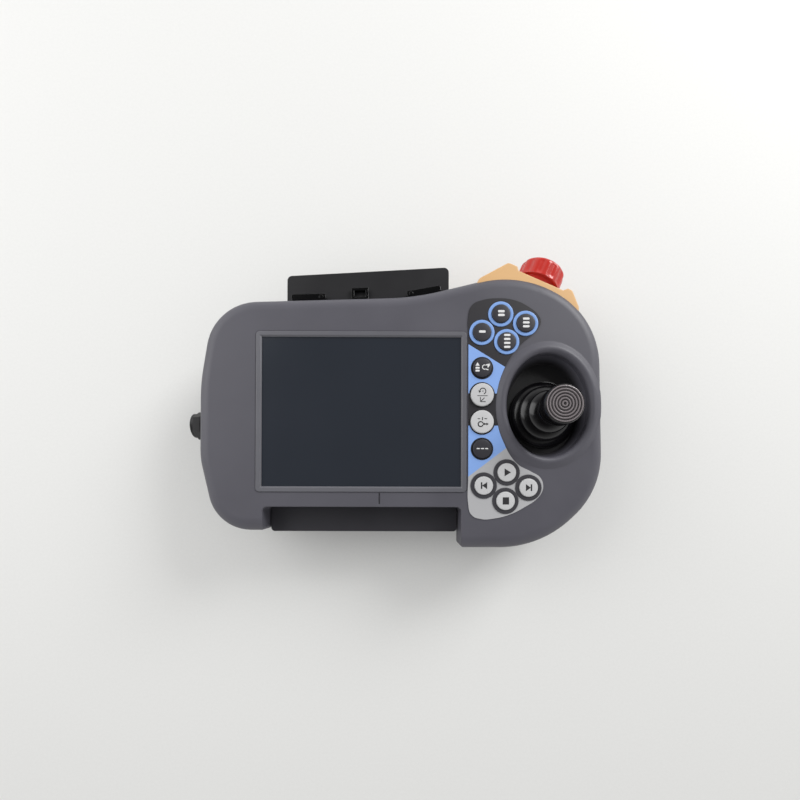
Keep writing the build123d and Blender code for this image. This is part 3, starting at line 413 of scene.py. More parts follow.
# %% Circuit board
def circuit_board():
    """Glass-epoxy board under green lacquer, with tracks about 1.2 mm wide."""
    material, tree, shader, place = new_finish("lacquered_circuit_board")
    cells = add(
        tree,
        "ShaderNodeTexVoronoi",
        {"Vector": place, "Scale": 1 / (6 * MM)},
        distance="MANHATTAN",
        feature="F1",
    )
    tracks = add(
        tree,
        "ShaderNodeTexWave",
        {"Vector": cells.outputs["Position"], "Scale": 90.0, "Distortion": 2.0},
    )
    tone = mixed(tree, tracks.outputs["Fac"], linear("#16402a"), linear("#256b3f"))
    tree.links.new(tone, shader.inputs["Base Color"])
    shader.inputs["Roughness"].default_value = 0.35
    return material


# %% Webbing
def webbing(name, colour):
    """Polyester webbing: a plain weave in the strap's own directions, from its UV map."""
    material, tree, shader, _ = new_finish(name)
    flat = add(tree, "ShaderNodeUVMap", uv_map="along_the_strap")
    weave_scale = 312.5  # a wave repeats every pi / 10 of its unit, so a yarn is 1.0 mm
    across = add(
        tree,
        "ShaderNodeTexWave",
        {"Vector": flat.outputs["UV"], "Scale": weave_scale, "Distortion": 0.4},
        bands_direction="X",
    )
    lengthwise = add(
        tree,
        "ShaderNodeTexWave",
        {"Vector": flat.outputs["UV"], "Scale": weave_scale, "Distortion": 0.4},
        bands_direction="Y",
    )
    weave = add(
        tree,
        "ShaderNodeMath",
        {0: across.outputs["Fac"], 1: lengthwise.outputs["Fac"]},
        operation="MULTIPLY",
    )
    faded = add(
        tree,
        "ShaderNodeTexNoise",
        {"Vector": flat.outputs["UV"], "Scale": 1 / (30 * MM), "Detail": 3.0},
    )
    base = linear(colour)
    dark, light = (tuple(c * k for c in base[:3]) + (1,) for k in (0.6, 1.3))
    tone = mixed(tree, weave.outputs[0], dark, light)
    tone = mixed(tree, 0.35, tone, faded.outputs["Color"], blend="MULTIPLY")
    tree.links.new(tone, shader.inputs["Base Color"])
    bump = add(
        tree,
        "ShaderNodeBump",
        {"Height": weave.outputs[0], "Strength": 1.0, "Distance": 0.25 * MM},
    )
    tree.links.new(bump.outputs["Normal"], shader.inputs["Normal"])
    shader.inputs["Roughness"].default_value = 0.85
    shader.inputs["Sheen Weight"].default_value = 0.25
    shader.inputs["Sheen Roughness"].default_value = 0.5
    return material


# %% [markdown]
# ## The palette
# Each finish is made once and named for what it is.

# %% Make the finishes
HOUSING_GREY = "#504f57"
FINISH = {
    "soft_touch": moulded(
        "soft_touch_painted_abs", HOUSING_GREY, 0.50, patch=0.05, wear_and_highlight=0.05, edge_mm=1.2
    ),
    "bezel": moulded("satin_abs_bezel", "#5f5f65", 0.40, grain_mm=0.6, grain=0.015, wear_and_highlight=0.25),
    "glass": display_glass(),
    "film": printed_film(),
    "dark_key": moulded("dark_silicone_key", "#2f2e34", 0.50, grain_mm=0.5, grain=0.01, wear_and_highlight=0.02),
    "light_key": moulded("pale_silicone_key", "#c0c0c1", 0.48, grain_mm=0.5, grain=0.01, wear_and_highlight=0.0),
    "blue_ring": moulded("blue_abs_ring", "#7ea3de", 0.38, grain_mm=0.5, grain=0.01, wear_and_highlight=0.1),
    "dark_ring": moulded("charcoal_abs_ring", "#3c3b40", 0.42, grain_mm=0.5, grain=0.01, wear_and_highlight=0.05),
    "black_ring": moulded("black_printed_ring", "#1b1a1d", 0.5, grain_mm=0.5, grain=0.01, wear_and_highlight=0.0),
    "white_print": moulded("white_printed_ink", "#dcdcdc", 0.55, grain=0.0, patch=0.02, wear_and_highlight=0.0),
    "black_print": moulded("black_printed_ink", "#2a292c", 0.55, grain=0.0, patch=0.02, wear_and_highlight=0.0),
    "boot": polished_rubber("polished_nitrile_rubber", "#060507", 0.17),
    "rubber": polished_rubber("matt_black_rubber", "#141317", 0.55),
    "knob": moulded("turned_black_acetal", "#0b0a0b", 0.24, grain_mm=0.5, grain=0.004, wear_and_highlight=0.0),
    # The knob's grooved top: the lighter grey of its crests and its lighter edges are a painted
    # highlight.
    "pad": moulded(
        "grooved_acetal_top",
        "#353132",
        0.24,
        grain_mm=0.5,
        grain=0.006,
        wear_and_highlight=0.4,
        edge_mm=0.3,
        fade=("#7f787a", 101.2, 101.9),
    ),
    # The bowl: the black below its rim is painted shade; at its rim it takes the housing's grey.
    "bowl": moulded(
        "abs_bowl_painted_shade_below_its_rim",
        "#0b0a0c",
        0.42,
        patch=0.04,
        wear_and_highlight=0.0,
        fade=(HOUSING_GREY, 56, 67),
    ),
    "red": moulded("red_moulded_abs", "#bd2e26", 0.22, grain_mm=0.6, grain=0.004, wear_and_highlight=0.0),
    "yellow": moulded("yellow_moulded_abs", "#d4a974", 0.46, grain=0.02, wear_and_highlight=0.05),
    "black": moulded("black_moulded_nylon", "#121115", 0.50, grain=0.03, wear_and_highlight=0.05),
    "guard": moulded("dark_grey_moulded_nylon", "#302f35", 0.50, grain=0.03, wear_and_highlight=0.05),
    "gloss": moulded("gloss_black_acetal", "#070708", 0.14, grain=0.004, patch=0.03, wear_and_highlight=0.02),
    "lever": moulded("grey_glass_filled_nylon", "#47484c", 0.48, grain=0.03, wear_and_highlight=0.08),
    "steel": turned_metal("stainless_steel", "#b9bbbe", 0.30),
    "tin": turned_metal("tinned_steel", "#a9acae", 0.38),
    "board": circuit_board(),
    "webbing": webbing("polyester_webbing", "#24232a"),
    "thread": moulded("polyester_thread", "#3c3b42", 0.7, grain_mm=0.4, grain=0.02, wear_and_highlight=0.0),
}
print("finishes:", len(FINISH))

# %% [markdown]
# ## Dress the solids
# A solid whose shape is already right keeps its shape and gets its real finish.

# %% Finishes of the solids
WEARS = {
    "soft_touch": ["front_housing", "rear_housing"],
    "bezel": ["screen_bezel"],
    "glass": ["touch_glass"],
    "film": ["keypad_overlay"],
    "bowl": ["joystick_bowl"],
    "rubber": [
        "housing_gasket",
        "gland_seal",
        "usb_cover",
        "joystick_boot_lower",
        "joystick_boot_upper",
    ],
    "knob": ["joystick_knob", "joystick_stick"],
    "red": ["stop_head"],
    "yellow": ["stop_housing"],
    "black": [
        "strap_anchor_upper",
        "gland_body",
        "gland_nut",
        "stop_plunger",
        "enable_tray",
        "enable_plunger",
        "reset_button",
        "stylus",
        "keypad_switches",
        "reset_switch",
        "stop_contacts",
        "enable_switch",
        "joystick_sensor",
    ],
    "gloss": ["strap_clip_left", "strap_clip_right", "strap_tab"],
    "guard": ["strap_anchor_lower"],
    "lever": ["enable_lever"],
    "steel": ["enable_pin", "joystick_gimbal"] + [f"housing_screw_{i}" for i in range(1, 7)],
    "tin": ["display_module", "usb_socket"],
    "board": ["main_board", "keypad_board"],
    "webbing": ["hand_strap"],
}
for finish, names in WEARS.items():
    for name in names:
        nodes[name].data.materials.clear()
        nodes[name].data.materials.append(FINISH[finish])
for name, node in nodes.items():
    if name.startswith("key_"):
        node.data.materials.clear()
        node.data.materials.append(FINISH["dark_key"])
print("bare solids:", [n for n, o in nodes.items() if not o.data.materials])

# %% [markdown]
# ## Turned shapes
# Keys, rings, the boot and the knobs are all round. Each can be made by turning a line of points
# about an axis, which gives clean rings of faces and smooth light on them. A cylinder with bevels
# would need many clean-up steps for the same shape. Corners are eased first: a moulded part has no
# knife edges, and the small curve is what catches the light.


# %% Helpers that build meshes
def eased(corners, reach, steps=5, closed=False):
    """The line with each corner drawn as a small curve that starts `reach` mm from it."""
    line = []
    n = len(corners)
    for i, corner in enumerate(corners):
        if not closed and i in (0, n - 1):
            line.append(corner)
            continue
        p = Vector((*corner, 0))
        before, after = Vector((*corners[i - 1], 0)), Vector((*corners[(i + 1) % n], 0))
        back = min(reach, (before - p).length * 0.45)
        on = min(reach, (after - p).length * 0.45)
        a, b = p + (before - p).normalized() * back, p + (after - p).normalized() * on
        for k in range(steps + 1):
            t = k / steps
            q = a * (1 - t) ** 2 + p * 2 * t * (1 - t) + b * t**2
            line.append((q.x, q.y))
    return line


def made(name, points, faces, finish, body, slot):
    """A new smooth piece from points and faces, in its finish, riding on its body."""
    mesh = bpy.data.meshes.new(name)
    mesh.from_pydata([tuple(p) for p in points], [], faces)
    mesh.validate()
    mesh.shade_smooth()
    mesh.set_sharp_from_angle(angle=math.radians(50))
    mesh.materials.append(FINISH[finish])
    piece = bpy.data.objects.new(name, mesh)
    scene.collection.objects.link(piece)
    if body:
        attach(piece, body)
    return piece


def spun(profile, place, steps=96, swell=None, closed=False):
    """Points and faces of a (radius, height) line in mm, turned about Z and put at `place`."""
    points, rows, faces = [], [], []
    for radius, height in profile:
        count = 1 if radius < 1e-6 else steps
        row = []
        for i in range(count):
            angle = 2 * math.pi * i / steps
            r = radius + (swell(angle, height) if swell and count > 1 else 0.0)
            row.append(len(points))
            points.append(place @ (Vector((r * math.cos(angle), r * math.sin(angle), height)) * MM))
        rows.append(row)
    for low, high in zip(rows, rows[1:] + (rows[:1] if closed else [])):
        for i in range(steps):
            ring = [low[i % len(low)], low[(i + 1) % len(low)]]
            ring += [high[(i + 1) % len(high)], high[i % len(high)]]
            corners = list(dict.fromkeys(ring))
            if len(corners) > 2:
                faces.append(corners)
    return points, faces


def standing(x, y, z=0.0):
    """The place of something that stands on the drawing's plane at x, y."""
    return Matrix.Translation(at(x, y, z))


print("eased corner:", len(eased([(0, 0), (1, 0), (1, 1)], 0.2)), "points")

# %% [markdown]
# ## The key field
# The film under the keys is one sheet, 0.6 mm thick, with softly rounded tips that reach out above
# and below the joystick, and a round hole for each key. A solid can only be rounded where its
# corners allow. A flat Bezier curve is freer: it is drawn through a few places on the edge, Blender
# smooths the way between them, and every circle inside it becomes a hole. It is then turned into a
# mesh, so that it can be exported.

# %% Film sheet
FILM_T = 0.6
FILM = FACE + FILM_T  # the film's top
FIELD = [
    (57.8, -60), (57.8, -80), (60.4, -88.6), (68.4, -91.9), (77.8, -91.4), (90.4, -88.2),
    (101.9, -82.4), (111.3, -76.1), (115.3, -70.8), (116.4, -65.6), (114.2, -59.3), (107.4, -54.8),
    (96.0, -48.4), (84.6, -30), (80.2, -15), (79.2, -3.5), (80.2, 8), (84.5, 23), (92.9, 38),
    (100.4, 46.6), (108.1, 53.1), (112.8, 58.4), (114.4, 63.7), (112.4, 68.3), (104.9, 74.7),
    (93.3, 80.0), (79.6, 81.3), (68.1, 79.7), (60.6, 76.0), (57.8, 68.5), (57.8, 50),
]  # fmt: skip
field_curve = bpy.data.curves.new("key_field_line", "CURVE")
field_curve.dimensions, field_curve.fill_mode = "2D", "BOTH"
field_curve.extrude = FILM_T / 2 * MM


def smooth_loop(places):
    """A closed smooth line through places in drawing millimetres."""
    spline = field_curve.splines.new("BEZIER")
    spline.bezier_points.add(len(places) - 1)
    for point, (x, y) in zip(spline.bezier_points, places):
        point.co = (*at(x, y, 0).xy, 0)
        point.handle_left_type = point.handle_right_type = "AUTO"
    spline.use_cyclic_u = True
    spline.resolution_u = 8


HOLE_CLEARANCE = 0.15  # between a key and its hole
KEY_FLANGE = 1.0  # a key's foot is this much wider than its cap
turns = [k * math.pi / 8 for k in range(16)]
smooth_loop(FIELD)
for name in nodes:
    if name.startswith("key_"):
        low, high = ((v - datum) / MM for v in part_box(name))
        x, y = (low.x + high.x) / 2, (low.y + high.y) / 2
        r = (high.x - low.x) / 2 - KEY_FLANGE + HOLE_CLEARANCE
        smooth_loop([(x + r * math.cos(a), y + r * math.sin(a)) for a in turns])
line_object = bpy.data.objects.new("key_field_line", field_curve)
scene.collection.objects.link(line_object)
sheet = bpy.data.meshes.new_from_object(line_object)
bpy.data.objects.remove(line_object)
points = [v.co + Vector((0, 0, (FILM - FILM_T / 2) * MM)) for v in sheet.vertices]
faces = [tuple(p.vertices) for p in sheet.polygons]
film = made("key_field_film", points, faces, "film", "housing", "overlay")
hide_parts("keypad_overlay")
print("film", len(points), "points")

# %% [markdown]
# ## Keys
# Each key is a silicone cap with a slightly domed top. The eight keys in the two clusters stand in
# raised plastic rings, blue above and charcoal below. The four keys between them lie in a thin dark
# ring that is only printed. A cap is turned from the line of its real section, so that its edge
# rolls over softly, and it replaces the plain solid on the same moving body.

# %% Caps and rings
KEYS = {
    "one_bar": ("dark_key", "blue_ring"),
    "two_bars": ("dark_key", "blue_ring"),
    "three_bars": ("dark_key", "blue_ring"),
    "four_bars": ("dark_key", "blue_ring"),
    "unit": ("dark_key", None),
    "turn_mode": ("light_key", None),
    "axis_mode": ("light_key", None),
    "step_size": ("dark_key", None),
    "start": ("light_key", "dark_ring"),
    "step_back": ("light_key", "dark_ring"),
    "step_forward": ("light_key", "dark_ring"),
    "stop": ("light_key", "dark_ring"),
}
RING_W = {"blue_ring": 2.68, "dark_ring": 3.1}
PRINT_W = {"light_key": 1.1, "dark_key": 1.5}
key_middle = {}
for name, (cap_finish, ring_finish) in KEYS.items():
    low, high = ((v - datum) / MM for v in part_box(f"key_{name}"))
    x, y, foot, top = (low.x + high.x) / 2, (low.y + high.y) / 2, low.z, high.z
    radius = (high.x - low.x) / 2 - KEY_FLANGE
    key_middle[name] = x, y, top
    section = eased(
        [
            (0, foot),
            (2.5, foot),
            (2.5, foot + 1.0),
            (radius + 1.0, foot + 1.0),
            (radius + 1.0, foot + 2.0),
            (radius, foot + 2.0),
            (radius, top - 0.25),
            (radius * 0.5, top - 0.05),
            (0, top),
        ],
        0.7,
    )
    cap = made(f"cap_{name}", *spun(section, standing(x, y)), cap_finish, f"{name}_key", cap_finish)
    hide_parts(f"key_{name}")
    if ring_finish:
        inside, outside, rim = radius + 0.08, radius + RING_W[ring_finish], FILM + 0.7
        crown = eased([(inside, FACE), (inside, rim), (outside, rim - 0.05), (outside, FACE)], 0.4)
        made(f"ring_{name}", *spun(crown, standing(x, y)), ring_finish, "housing", "overlay")
    else:
        inside, outside = radius + 0.12, radius + PRINT_W[cap_finish]
        print_line = [(inside, FACE), (inside, FILM + 0.1), (outside, FILM + 0.1), (outside, FACE)]
        ring = spun(print_line, standing(x, y))
        made(f"print_ring_{name}", *ring, "black_ring", "housing", "overlay")
print("caps:", len(KEYS), "at", round(top, 2), "mm")

# %% [markdown]
# ## Signs on the keys
# The signs are ordinary ones, found on many machines: one to four bars to choose an axis or a
# speed, a triangle for start, a square for stop. Each is printed in thick ink on the cap. A sign is
# drawn here as flat outlines in millimetres from the cap's middle. It reaches down through the
# dome's slope and its top stands just proud of the dome. It rides on its own key, so it moves when
# the key is pressed.


# %% Draw the signs
def bar(x, y, w, h, r=0.35):
    """A rounded bar."""
    return eased(
        [(x + i * w / 2, y + j * h / 2) for i, j in ((-1, -1), (1, -1), (1, 1), (-1, 1))],
        r,
        steps=3,
        closed=True,
    )


def stroke(line, width):
    """A line of points as a band of even width."""
    left, right = [], []
    for i, (x, y) in enumerate(line):
        ahead = line[min(i + 1, len(line) - 1)]
        behind = line[max(i - 1, 0)]
        way = Vector((ahead[0] - behind[0], ahead[1] - behind[1])).normalized()
        left.append((x - way.y * width / 2, y + way.x * width / 2))
        right.append((x + way.y * width / 2, y - way.x * width / 2))
    return right + left[::-1]


def arc(x, y, radius, start, end, steps=16):
    turns = [math.radians(start + (end - start) * i / steps) for i in range(steps + 1)]
    return [(x + radius * math.cos(a), y + radius * math.sin(a)) for a in turns]


SIGNS = {
    "one_bar": [bar(0, 0, 5.2, 1.9, 0.8)],
    "two_bars": [bar(0, s * 1.45, 5.2, 1.9, 0.8) for s in (1, -1)],
    "three_bars": [bar(0, s * 3.0, 5.2, 1.8, 0.8) for s in (1, 0, -1)],
    "four_bars": [bar(0, s * 1.55, 5.0, 1.7, 0.8) for s in (3, 1, -1, -3)],
    "unit": [
        [(-5.6, 1.2), (-3.9, 4.0), (-2.2, 1.2)],
        bar(-3.9, -0.4, 3.2, 1.5),
        bar(-3.9, -2.6, 3.2, 1.5),
        stroke(arc(1.6, 0.2, 1.7, 60, 300), 0.7),
        stroke([(2.3, 1.7), (5.6, 2.6)], 0.8),
        stroke([(2.3, -1.3), (4.6, -1.9)], 0.8),
        [(4.2, -0.6), (6.0, 2.2), (3.6, 1.6)],
    ],
    "turn_mode": [
        stroke(arc(0.3, 2.6, 2.3, -70, 160), 0.7),
        [(-3.1, 3.4), (-2.6, 1.2), (-0.9, 2.7)],
        bar(0.3, 2.6, 0.9, 0.9, 0.4),
        bar(0, -1.0, 8.0, 0.5, 0.2),
        stroke([(-1.6, -2.0), (-1.6, -5.6), (2.4, -5.6)], 0.6),
        stroke([(-1.2, -5.2), (1.6, -2.6)], 0.6),
    ],
    "axis_mode": [
        bar(-2.8, 2.2, 2.0, 0.6, 0.2),
        bar(0.0, 2.2, 0.7, 2.4, 0.2),
        bar(2.6, 2.2, 2.2, 0.6, 0.2),
        stroke(arc(-1.4, -2.0, 1.9, 20, 340), 0.9),
        bar(1.2, -1.9, 1.4, 1.6, 0.3),
        stroke([(1.8, -1.9), (3.8, -1.9)], 0.9),
        [(3.2, -3.0), (4.8, -1.9), (3.2, -0.8)],
    ],
    "step_size": [bar(s * 3.3, 0, 2.4, 0.9, 0.2) for s in (-1, 0, 1)],
    "start": [[(-2.0, -3.0), (2.9, 0), (-2.0, 3.0)]],
    "step_back": [bar(-1.9, 0, 1.1, 5.2, 0.1), [(-1.5, 0), (2.4, -2.7), (2.4, 2.7)]],
    "step_forward": [bar(1.9, 0, 1.1, 5.2, 0.1), [(1.5, 0), (-2.4, 2.7), (-2.4, -2.7)]],
    "stop": [bar(0, 0, 4.9, 5.6, 0.15)],
}
for name, outlines in SIGNS.items():
    x, y, top = key_middle[name]
    cap_finish = KEYS[name][0]
    ink = "black_print" if cap_finish == "light_key" else "white_print"
    top += 0.04
    points, faces = [], []
    for outline in outlines:
        first, n = len(points), len(outline)
        for level in (top - 0.4, top):
            points += [at(x + px, y + py, level) for px, py in outline]
        faces.append([first + n + i for i in range(n)])
        faces += [
            [first + i, first + (i + 1) % n, first + n + (i + 1) % n, first + n + i]
            for i in range(n)
        ]
    made(f"sign_{name}", points, faces, ink, f"{name}_key", cap_finish)
print("signs:", len(SIGNS))

# %% [markdown]
# ## The joystick's boot
# A moulded rubber bellows keeps dirt out of the joystick. Seen from the front it is a stack of
# shrinking rings with rounded crests and narrow valleys. The plain solid has straight-sided folds.
# Here the same line is a run of half waves, which gives the round crests. On the real pendant the
# boot bends when the stick tilts: the lower folds bend between the housing and the gimbal's ring,
# and the upper ones between the ring and the stick. It is made in two pieces that meet in a valley,
# and here both stay fixed in place.

# %% Bellows
STICK = (120.8, -7.8)
BOOT_LOW, BOOT_HIGH, FOLDS = 58.0, 81.0, 3


def bellows(first, last, wall=1.2, per_fold=20):
    """The outside line of the folds, and the inside line back down."""
    outside = []
    for i in range(int((last - first) * per_fold) + 1):
        s = first + i / per_fold
        crest = 26.6 - 15.2 * s / FOLDS
        radius = crest - 4.4 * (1 - abs(math.cos(math.pi * s)) ** 0.7)
        outside.append((radius, BOOT_LOW + (BOOT_HIGH - BOOT_LOW) * s / FOLDS))
    return outside + [(r - wall, z) for r, z in reversed(outside)]


stick_foot = standing(*STICK)
skirt = [(25.3, 56.8), (27.2, 56.8), (27.2, 57.9)]
lower_boot = made(
    "boot_lower",
    *spun(skirt + bellows(0, 1.5), stick_foot, closed=True),
    "boot",
    None,
    "joystick_rubber",
)
upper_boot = made(
    "boot_upper",
    *spun(bellows(1.5, FOLDS), stick_foot, closed=True),
    "boot",
    None,
    "joystick_rubber",
)
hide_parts("joystick_boot_lower")
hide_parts("joystick_boot_upper")
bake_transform(lower_boot)
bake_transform(upper_boot)
print("boot folds:", FOLDS)

# %% [markdown]
# ## The joystick's knob
# The knob is turned from glossy black acetal, with a plain side. A grooved disc is set into its top
# for the thumb: six rings, dark grey in the grooves, with a lighter grey on the crests as a painted
# highlight. The knob and its disc are each a line that is turned.

# %% Knob
knob_low, knob_high = (v.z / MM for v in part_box("joystick_knob"))
KNOB_R = 14.4
PAD_R, PAD_DEEP = KNOB_R - 1.2, 1.8
line = [(0, knob_low + 0.2), (10.4, knob_low), (KNOB_R - 0.1, knob_low + 4.6)]
line += [(KNOB_R, knob_high - 1.6), (PAD_R + 0.2, knob_high)]
line = eased(line, 1.2)
line += [(PAD_R + 0.1, knob_high - PAD_DEEP), (0, knob_high - PAD_DEEP)]
knob = made("knob_turned", *spun(line, stick_foot, steps=128), "knob", "knob", "joystick_rubber")
pitch = PAD_R / 6
pad_low, groove_low = knob_high - PAD_DEEP + 0.1, knob_high - 0.8
line = [(0, pad_low), (PAD_R, pad_low), (PAD_R, knob_high - 0.3)]
for i in range(6):
    crest = PAD_R - i * pitch
    line += [
        (crest - 0.12 * pitch, knob_high),
        (crest - 0.38 * pitch, knob_high),
        (crest - 0.58 * pitch, groove_low),
        (crest - 0.90 * pitch, groove_low),
    ]
line[-1] = (0, groove_low)
made("knob_top", *spun(line, stick_foot, steps=128), "pad", "knob", "joystick_rubber")
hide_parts("joystick_knob")
print("knob", round(knob_high - knob_low, 1), "mm high")

# %% [markdown]
# ## The stop button's head
# The head is a thick red mushroom, moulded in glossy ABS, with shallow hollows round its side for
# the fingers. It leans over the slanted face of its yellow block. It is turned about its own axis,
# and a wave round the side swells and hollows it.

# %% Stop head
LEAN = math.radians(23.4)
stop_axis = Vector((math.sin(LEAN), math.cos(LEAN), 0))
stop_across = Vector((math.cos(LEAN), -math.sin(LEAN), 0))
stop_place = Matrix(
    (
        (stop_across.x, 0, stop_axis.x, 0),
        (stop_across.y, 0, stop_axis.y, 0),
        (0, -1, 0, 0),
        (0, 0, 0, 1),
    )
)
stop_place.translation = at(117.4, 100.2, 50.0)


def hollows(angle, height):
    """How far the side comes in at this angle: twelve shallow scoops, fading at both ends."""
    fade = max(0.0, min(1.0, (height - 1.2) / 2.0)) * max(0.0, min(1.0, (15.2 - height) / 3.0))
    return -1.2 * fade * (0.5 - 0.5 * math.cos(12 * angle)) ** 1.5


NECK_R, NECK_FOOT, HEAD_R = 15.2, -8.1, 18.3
side = eased([(NECK_R, 1.0), (HEAD_R, 1.05), (HEAD_R, 6.0)], 0.6)
side += eased([(HEAD_R, 6.5), (HEAD_R, 15.2), (7.0, 17.05), (0, 17.6)], 3.6, 10)
full = [(0, NECK_FOOT), (NECK_R, NECK_FOOT)]
for (r0, h0), (r1, h1) in zip(side, side[1:]):
    full += [(r0 + (r1 - r0) * k / 3, h0 + (h1 - h0) * k / 3) for k in range(3)]
full.append((0, side[-1][1]))
head = spun(full, stop_place, 144, hollows)
head = made("stop_mushroom", *head, "red", "stop_button", "stop_red")
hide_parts("stop_head")
print("stop head", len(head.data.vertices), "points")

# %% [markdown]
# ## The hand strap
# A broad padded band crosses the back, and the hand goes between it and the pendant. It is webbing
# on both sides of a layer of foam, sewn together along its edges and along three lines, so the foam
# swells between the seams and pulls in at them. A cloth simulation would need a fine mesh to keep
# seams this narrow, and remeshing would wipe them out. The band is laid out directly instead: a
# grid that follows the strap's line, whose thickness at each point comes from how near a seam is.

# %% Strap line
strap_low, strap_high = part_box("hand_strap")
strap_x = (strap_low.x + strap_high.x) / 2 / MM - datum.x / MM
STRAP_W, STRAP_T, BEND = (strap_high.x - strap_low.x) / MM, 3.0, 22.0
y_bottom = strap_low.y / MM - datum.y / MM + STRAP_T / 2
y_top = strap_high.y / MM - datum.y / MM - STRAP_T / 2
z_flat, z_end = strap_low.z / MM + STRAP_T / 2, strap_high.z / MM


def strap_line(length):
    """Place and direction on the strap's middle line, `length` mm from its upper end."""
    rise = z_end - z_flat - BEND
    quarter = math.pi / 2 * BEND
    flat = y_top - y_bottom - 2 * BEND
    if length <= rise:
        return (y_top, z_end - length), (0, -1)
    length -= rise
    if length <= quarter:
        a = length / BEND
        return (y_top - BEND + BEND * math.cos(a), z_flat + BEND - BEND * math.sin(a)), (
            -math.sin(a),
            -math.cos(a),
        )
    length -= quarter
    if length <= flat:
        return (y_top - BEND - length, z_flat), (-1, 0)
    length -= flat
    if length <= quarter:
        a = length / BEND
        return (
            y_bottom + BEND - BEND * math.sin(a),
            z_flat + BEND - BEND * math.cos(a),
        ), (-math.cos(a), math.sin(a))
    length -= quarter
    return (y_bottom, z_flat + BEND + length), (0, 1)


STRAP_L = 2 * (z_end - z_flat - BEND) + math.pi * BEND + (y_top - y_bottom - 2 * BEND)
SEAMS = [-STRAP_W / 2 + 7, -STRAP_W / 6, STRAP_W / 6, STRAP_W / 2 - 7]


def half_thickness(across, length):
    """Half the strap's thickness: full between seams, thin at them, rolled at the edge."""
    nearest = min(abs(across - s) for s in SEAMS)
    pull = 1 - math.exp(-((nearest / 3.2) ** 2))
    edge = math.sqrt(max(0.0, 1 - max(0.0, (abs(across) - STRAP_W / 2 + 1.6) / 1.6) ** 2))
    dent = 0.12 * noise.noise((across / 16, length / 22, 3.7))
    return (0.95 + 0.85 * pull + dent * pull) * (0.15 + 0.85 * edge)


def strap_point(across, length, side):
    (y, z), (way_y, way_z) = strap_line(length)
    inward = Vector((0, -way_z, way_y)) * -1  # towards the hand
    drift = 0.35 * noise.noise((across / 60, length / 55, 9.1))
    reach = side * half_thickness(across, length) + drift
    return at(strap_x + across, y, z) + inward * reach * MM


# %% Strap mesh
across_steps = [-STRAP_W / 2 + STRAP_W * i / 118 for i in range(119)]
fine_edge = [STRAP_W / 2 * s - s * d for s in (-1, 1) for d in (0.25, 0.6, 1.3)]
across_steps = sorted(set(across_steps + fine_edge))
lengths = [STRAP_L * i / 150 for i in range(151)]
points, faces, flats = [], [], []
for side in (1, -1):
    for length in lengths:
        for a in across_steps:
            points.append(strap_point(a, length, side))
            flats.append((a * MM, length * MM))
width, count = len(across_steps), len(across_steps) * len(lengths)
for j in range(len(lengths) - 1):
    for i in range(width - 1):
        p = j * width + i
        faces.append((p, p + 1, p + width + 1, p + width))
        q = count + p
        faces.append((q, q + width, q + width + 1, q + 1))
for j in range(len(lengths) - 1):
    for i in (0, width - 1):
        p, q = j * width + i, count + j * width + i
        faces.append((p, p + width, q + width, q) if i == 0 else (p, q, q + width, p + width))
for j in (0, len(lengths) - 1):
    for i in range(width - 1):
        p, q = j * width + i, count + j * width + i
        faces.append((p, q, q + 1, p + 1) if j == 0 else (p, p + 1, q + 1, q))
strap = made("strap_padded_band", points, faces, "webbing", "housing", "strap_fabric")
layer = strap.data.uv_layers.new(name="along_the_strap")
for corner in strap.data.loops:
    layer.data[corner.index].uv = flats[corner.vertex_index]
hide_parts("hand_strap")
print("strap", round(STRAP_L), "mm long,", len(points), "points")

# %% [markdown]
# ## Stitches
# Thick polyester thread holds the layers. Each stitch is about 3 mm long with a gap of 1 mm, pulled
# slightly into the webbing. They are small rolled shapes along the seams, all in one mesh.

# %% Stitches along the seams
points, faces = [], []
STITCH, GAP, THREAD = 3.0, 1.0, 0.45
for seam in SEAMS:
    for side in (1, -1):
        start = 6.0
        while start + STITCH < STRAP_L - 6:
            rings = []
            for t, thick in ((0, 0.1), (0.15, 0.8), (0.5, 1.0), (0.85, 0.8), (1, 0.1)):
                middle = strap_point(seam, start + t * STITCH, side)
                ahead = strap_point(seam, start + t * STITCH + 0.5, side)
                way = (ahead - middle).normalized()
                sideways = Vector((1, 0, 0))
                out = way.cross(sideways).normalized()
                rings.append(len(points))
                for k in range(6):
                    a = 2 * math.pi * k / 6
                    reach = sideways * math.cos(a) + out * math.sin(a)
                    points.append(middle + reach * THREAD * thick * MM)
            for r0, r1 in zip(rings, rings[1:]):
                for k in range(6):
                    faces.append((r0 + k, r0 + (k + 1) % 6, r1 + (k + 1) % 6, r1 + k))
            start += STITCH + GAP
made("strap_stitches", points, faces, "thread", "housing", "strap_fabric")
print("stitch points", len(points))

# %% [markdown]
# ## Floor and light
# A pale floor and a plain surround keep the scene calm. A large soft lamp stands on the right
# beyond the pendant's top edge, and a second one on the left picks out the rubber's folds. The
# surround fills the shadows, so that together a colour looks about as it is written. A studio is
# bright at its walls and dark at its ceiling. Gloss shows that: flat black faces that look up stay
# black, and rounded edges catch the walls. So the surround that mirror-like surfaces see goes from
# the background's own white at the horizon to dark overhead.

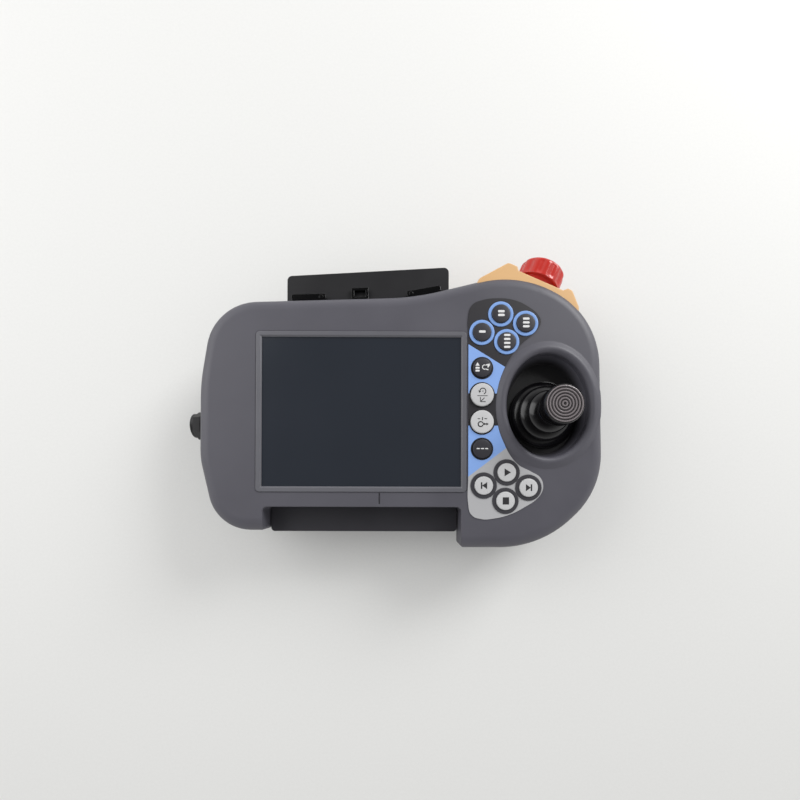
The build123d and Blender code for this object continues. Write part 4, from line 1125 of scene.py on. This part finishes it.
# %% Floor
floor = bpy.data.meshes.new("floor")
floor.from_pydata([(-3, -3, 0), (3, -3, 0), (3, 3, 0), (-3, 3, 0)], [], [(0, 1, 2, 3)])
floor_piece = bpy.data.objects.new("floor", floor)
scene.collection.objects.link(floor_piece)
paper, tree, shader, place = new_finish("matt_paper_floor")
fibre = add(
    tree, "ShaderNodeTexNoise", {"Vector": place, "Scale": 1 / (2.5 * MM), "Detail": 2.0}
)
tone = mixed(tree, fibre.outputs["Fac"], linear("#dcdcda"), linear("#e1e1df"))
tree.links.new(tone, shader.inputs["Base Color"])
shader.inputs["Roughness"].default_value = 0.9
glow = add(
    tree,
    "ShaderNodeMath",
    {0: tree.nodes.new("ShaderNodeLightPath").outputs["Is Camera Ray"], 1: 0.02},
    operation="MULTIPLY",
)
shader.inputs["Emission Color"].default_value = (1, 1, 1, 1)
tree.links.new(glow.outputs[0], shader.inputs["Emission Strength"])
floor.materials.append(paper)

# %% Surround
SURROUND = 0.62  # the light that the surround gives
WALLS, CEILING = 1.0, 0.05  # what reflections see at the horizon and overhead
world = bpy.data.worlds.new("surround")
scene.world = world
world.use_nodes = True
tree = world.node_tree
path = tree.nodes.new("ShaderNodeLightPath")
way = add(
    tree,
    "ShaderNodeSeparateXYZ",
    {"Vector": tree.nodes.new("ShaderNodeTexCoord").outputs["Generated"]},
)
mirrored = add(
    tree,
    "ShaderNodeMapRange",
    {
        "Value": way.outputs["Z"],
        "From Min": 0.25,
        "From Max": 0.9,
        "To Min": WALLS,
        "To Max": CEILING,
    },
    interpolation_type="SMOOTHSTEP",
)
fill = add(
    tree, "ShaderNodeMix", {0: path.outputs["Is Glossy Ray"], 2: SURROUND, 3: mirrored.outputs[0]}
)
seen = add(
    tree,
    "ShaderNodeMath",
    {0: path.outputs["Is Camera Ray"], 1: path.outputs["Is Transmission Ray"]},
    operation="MAXIMUM",
)
strength = add(tree, "ShaderNodeMix", {0: seen.outputs[0], 2: fill.outputs[0], 3: 1.0})
background = tree.nodes["Background"]
background.inputs["Color"].default_value = (1, 1, 1, 1)
tree.links.new(strength.outputs[0], background.inputs["Strength"])

# %% Lamps
def softbox(name, place, aim, size, watts):
    """A square soft lamp that looks at a point."""
    lamp = bpy.data.objects.new(name, bpy.data.lights.new(name, "AREA"))
    scene.collection.objects.link(lamp)
    lamp.data.shape = "SQUARE"
    lamp.data.size = size
    lamp.data.energy = watts
    lamp.location = place
    lamp.rotation_euler = (Vector(aim) - Vector(place)).to_track_quat("-Z", "Y").to_euler()
    return lamp


softbox("key_lamp", (1.05, 1.0, 0.85), (0, 0, 0.05), 0.7, 17.0)
softbox("left_lamp", (-0.95, 0.45, 0.8), (0.1, 0, 0.05), 1.0, 7.0)
print("surround", SURROUND, "lamps 2")
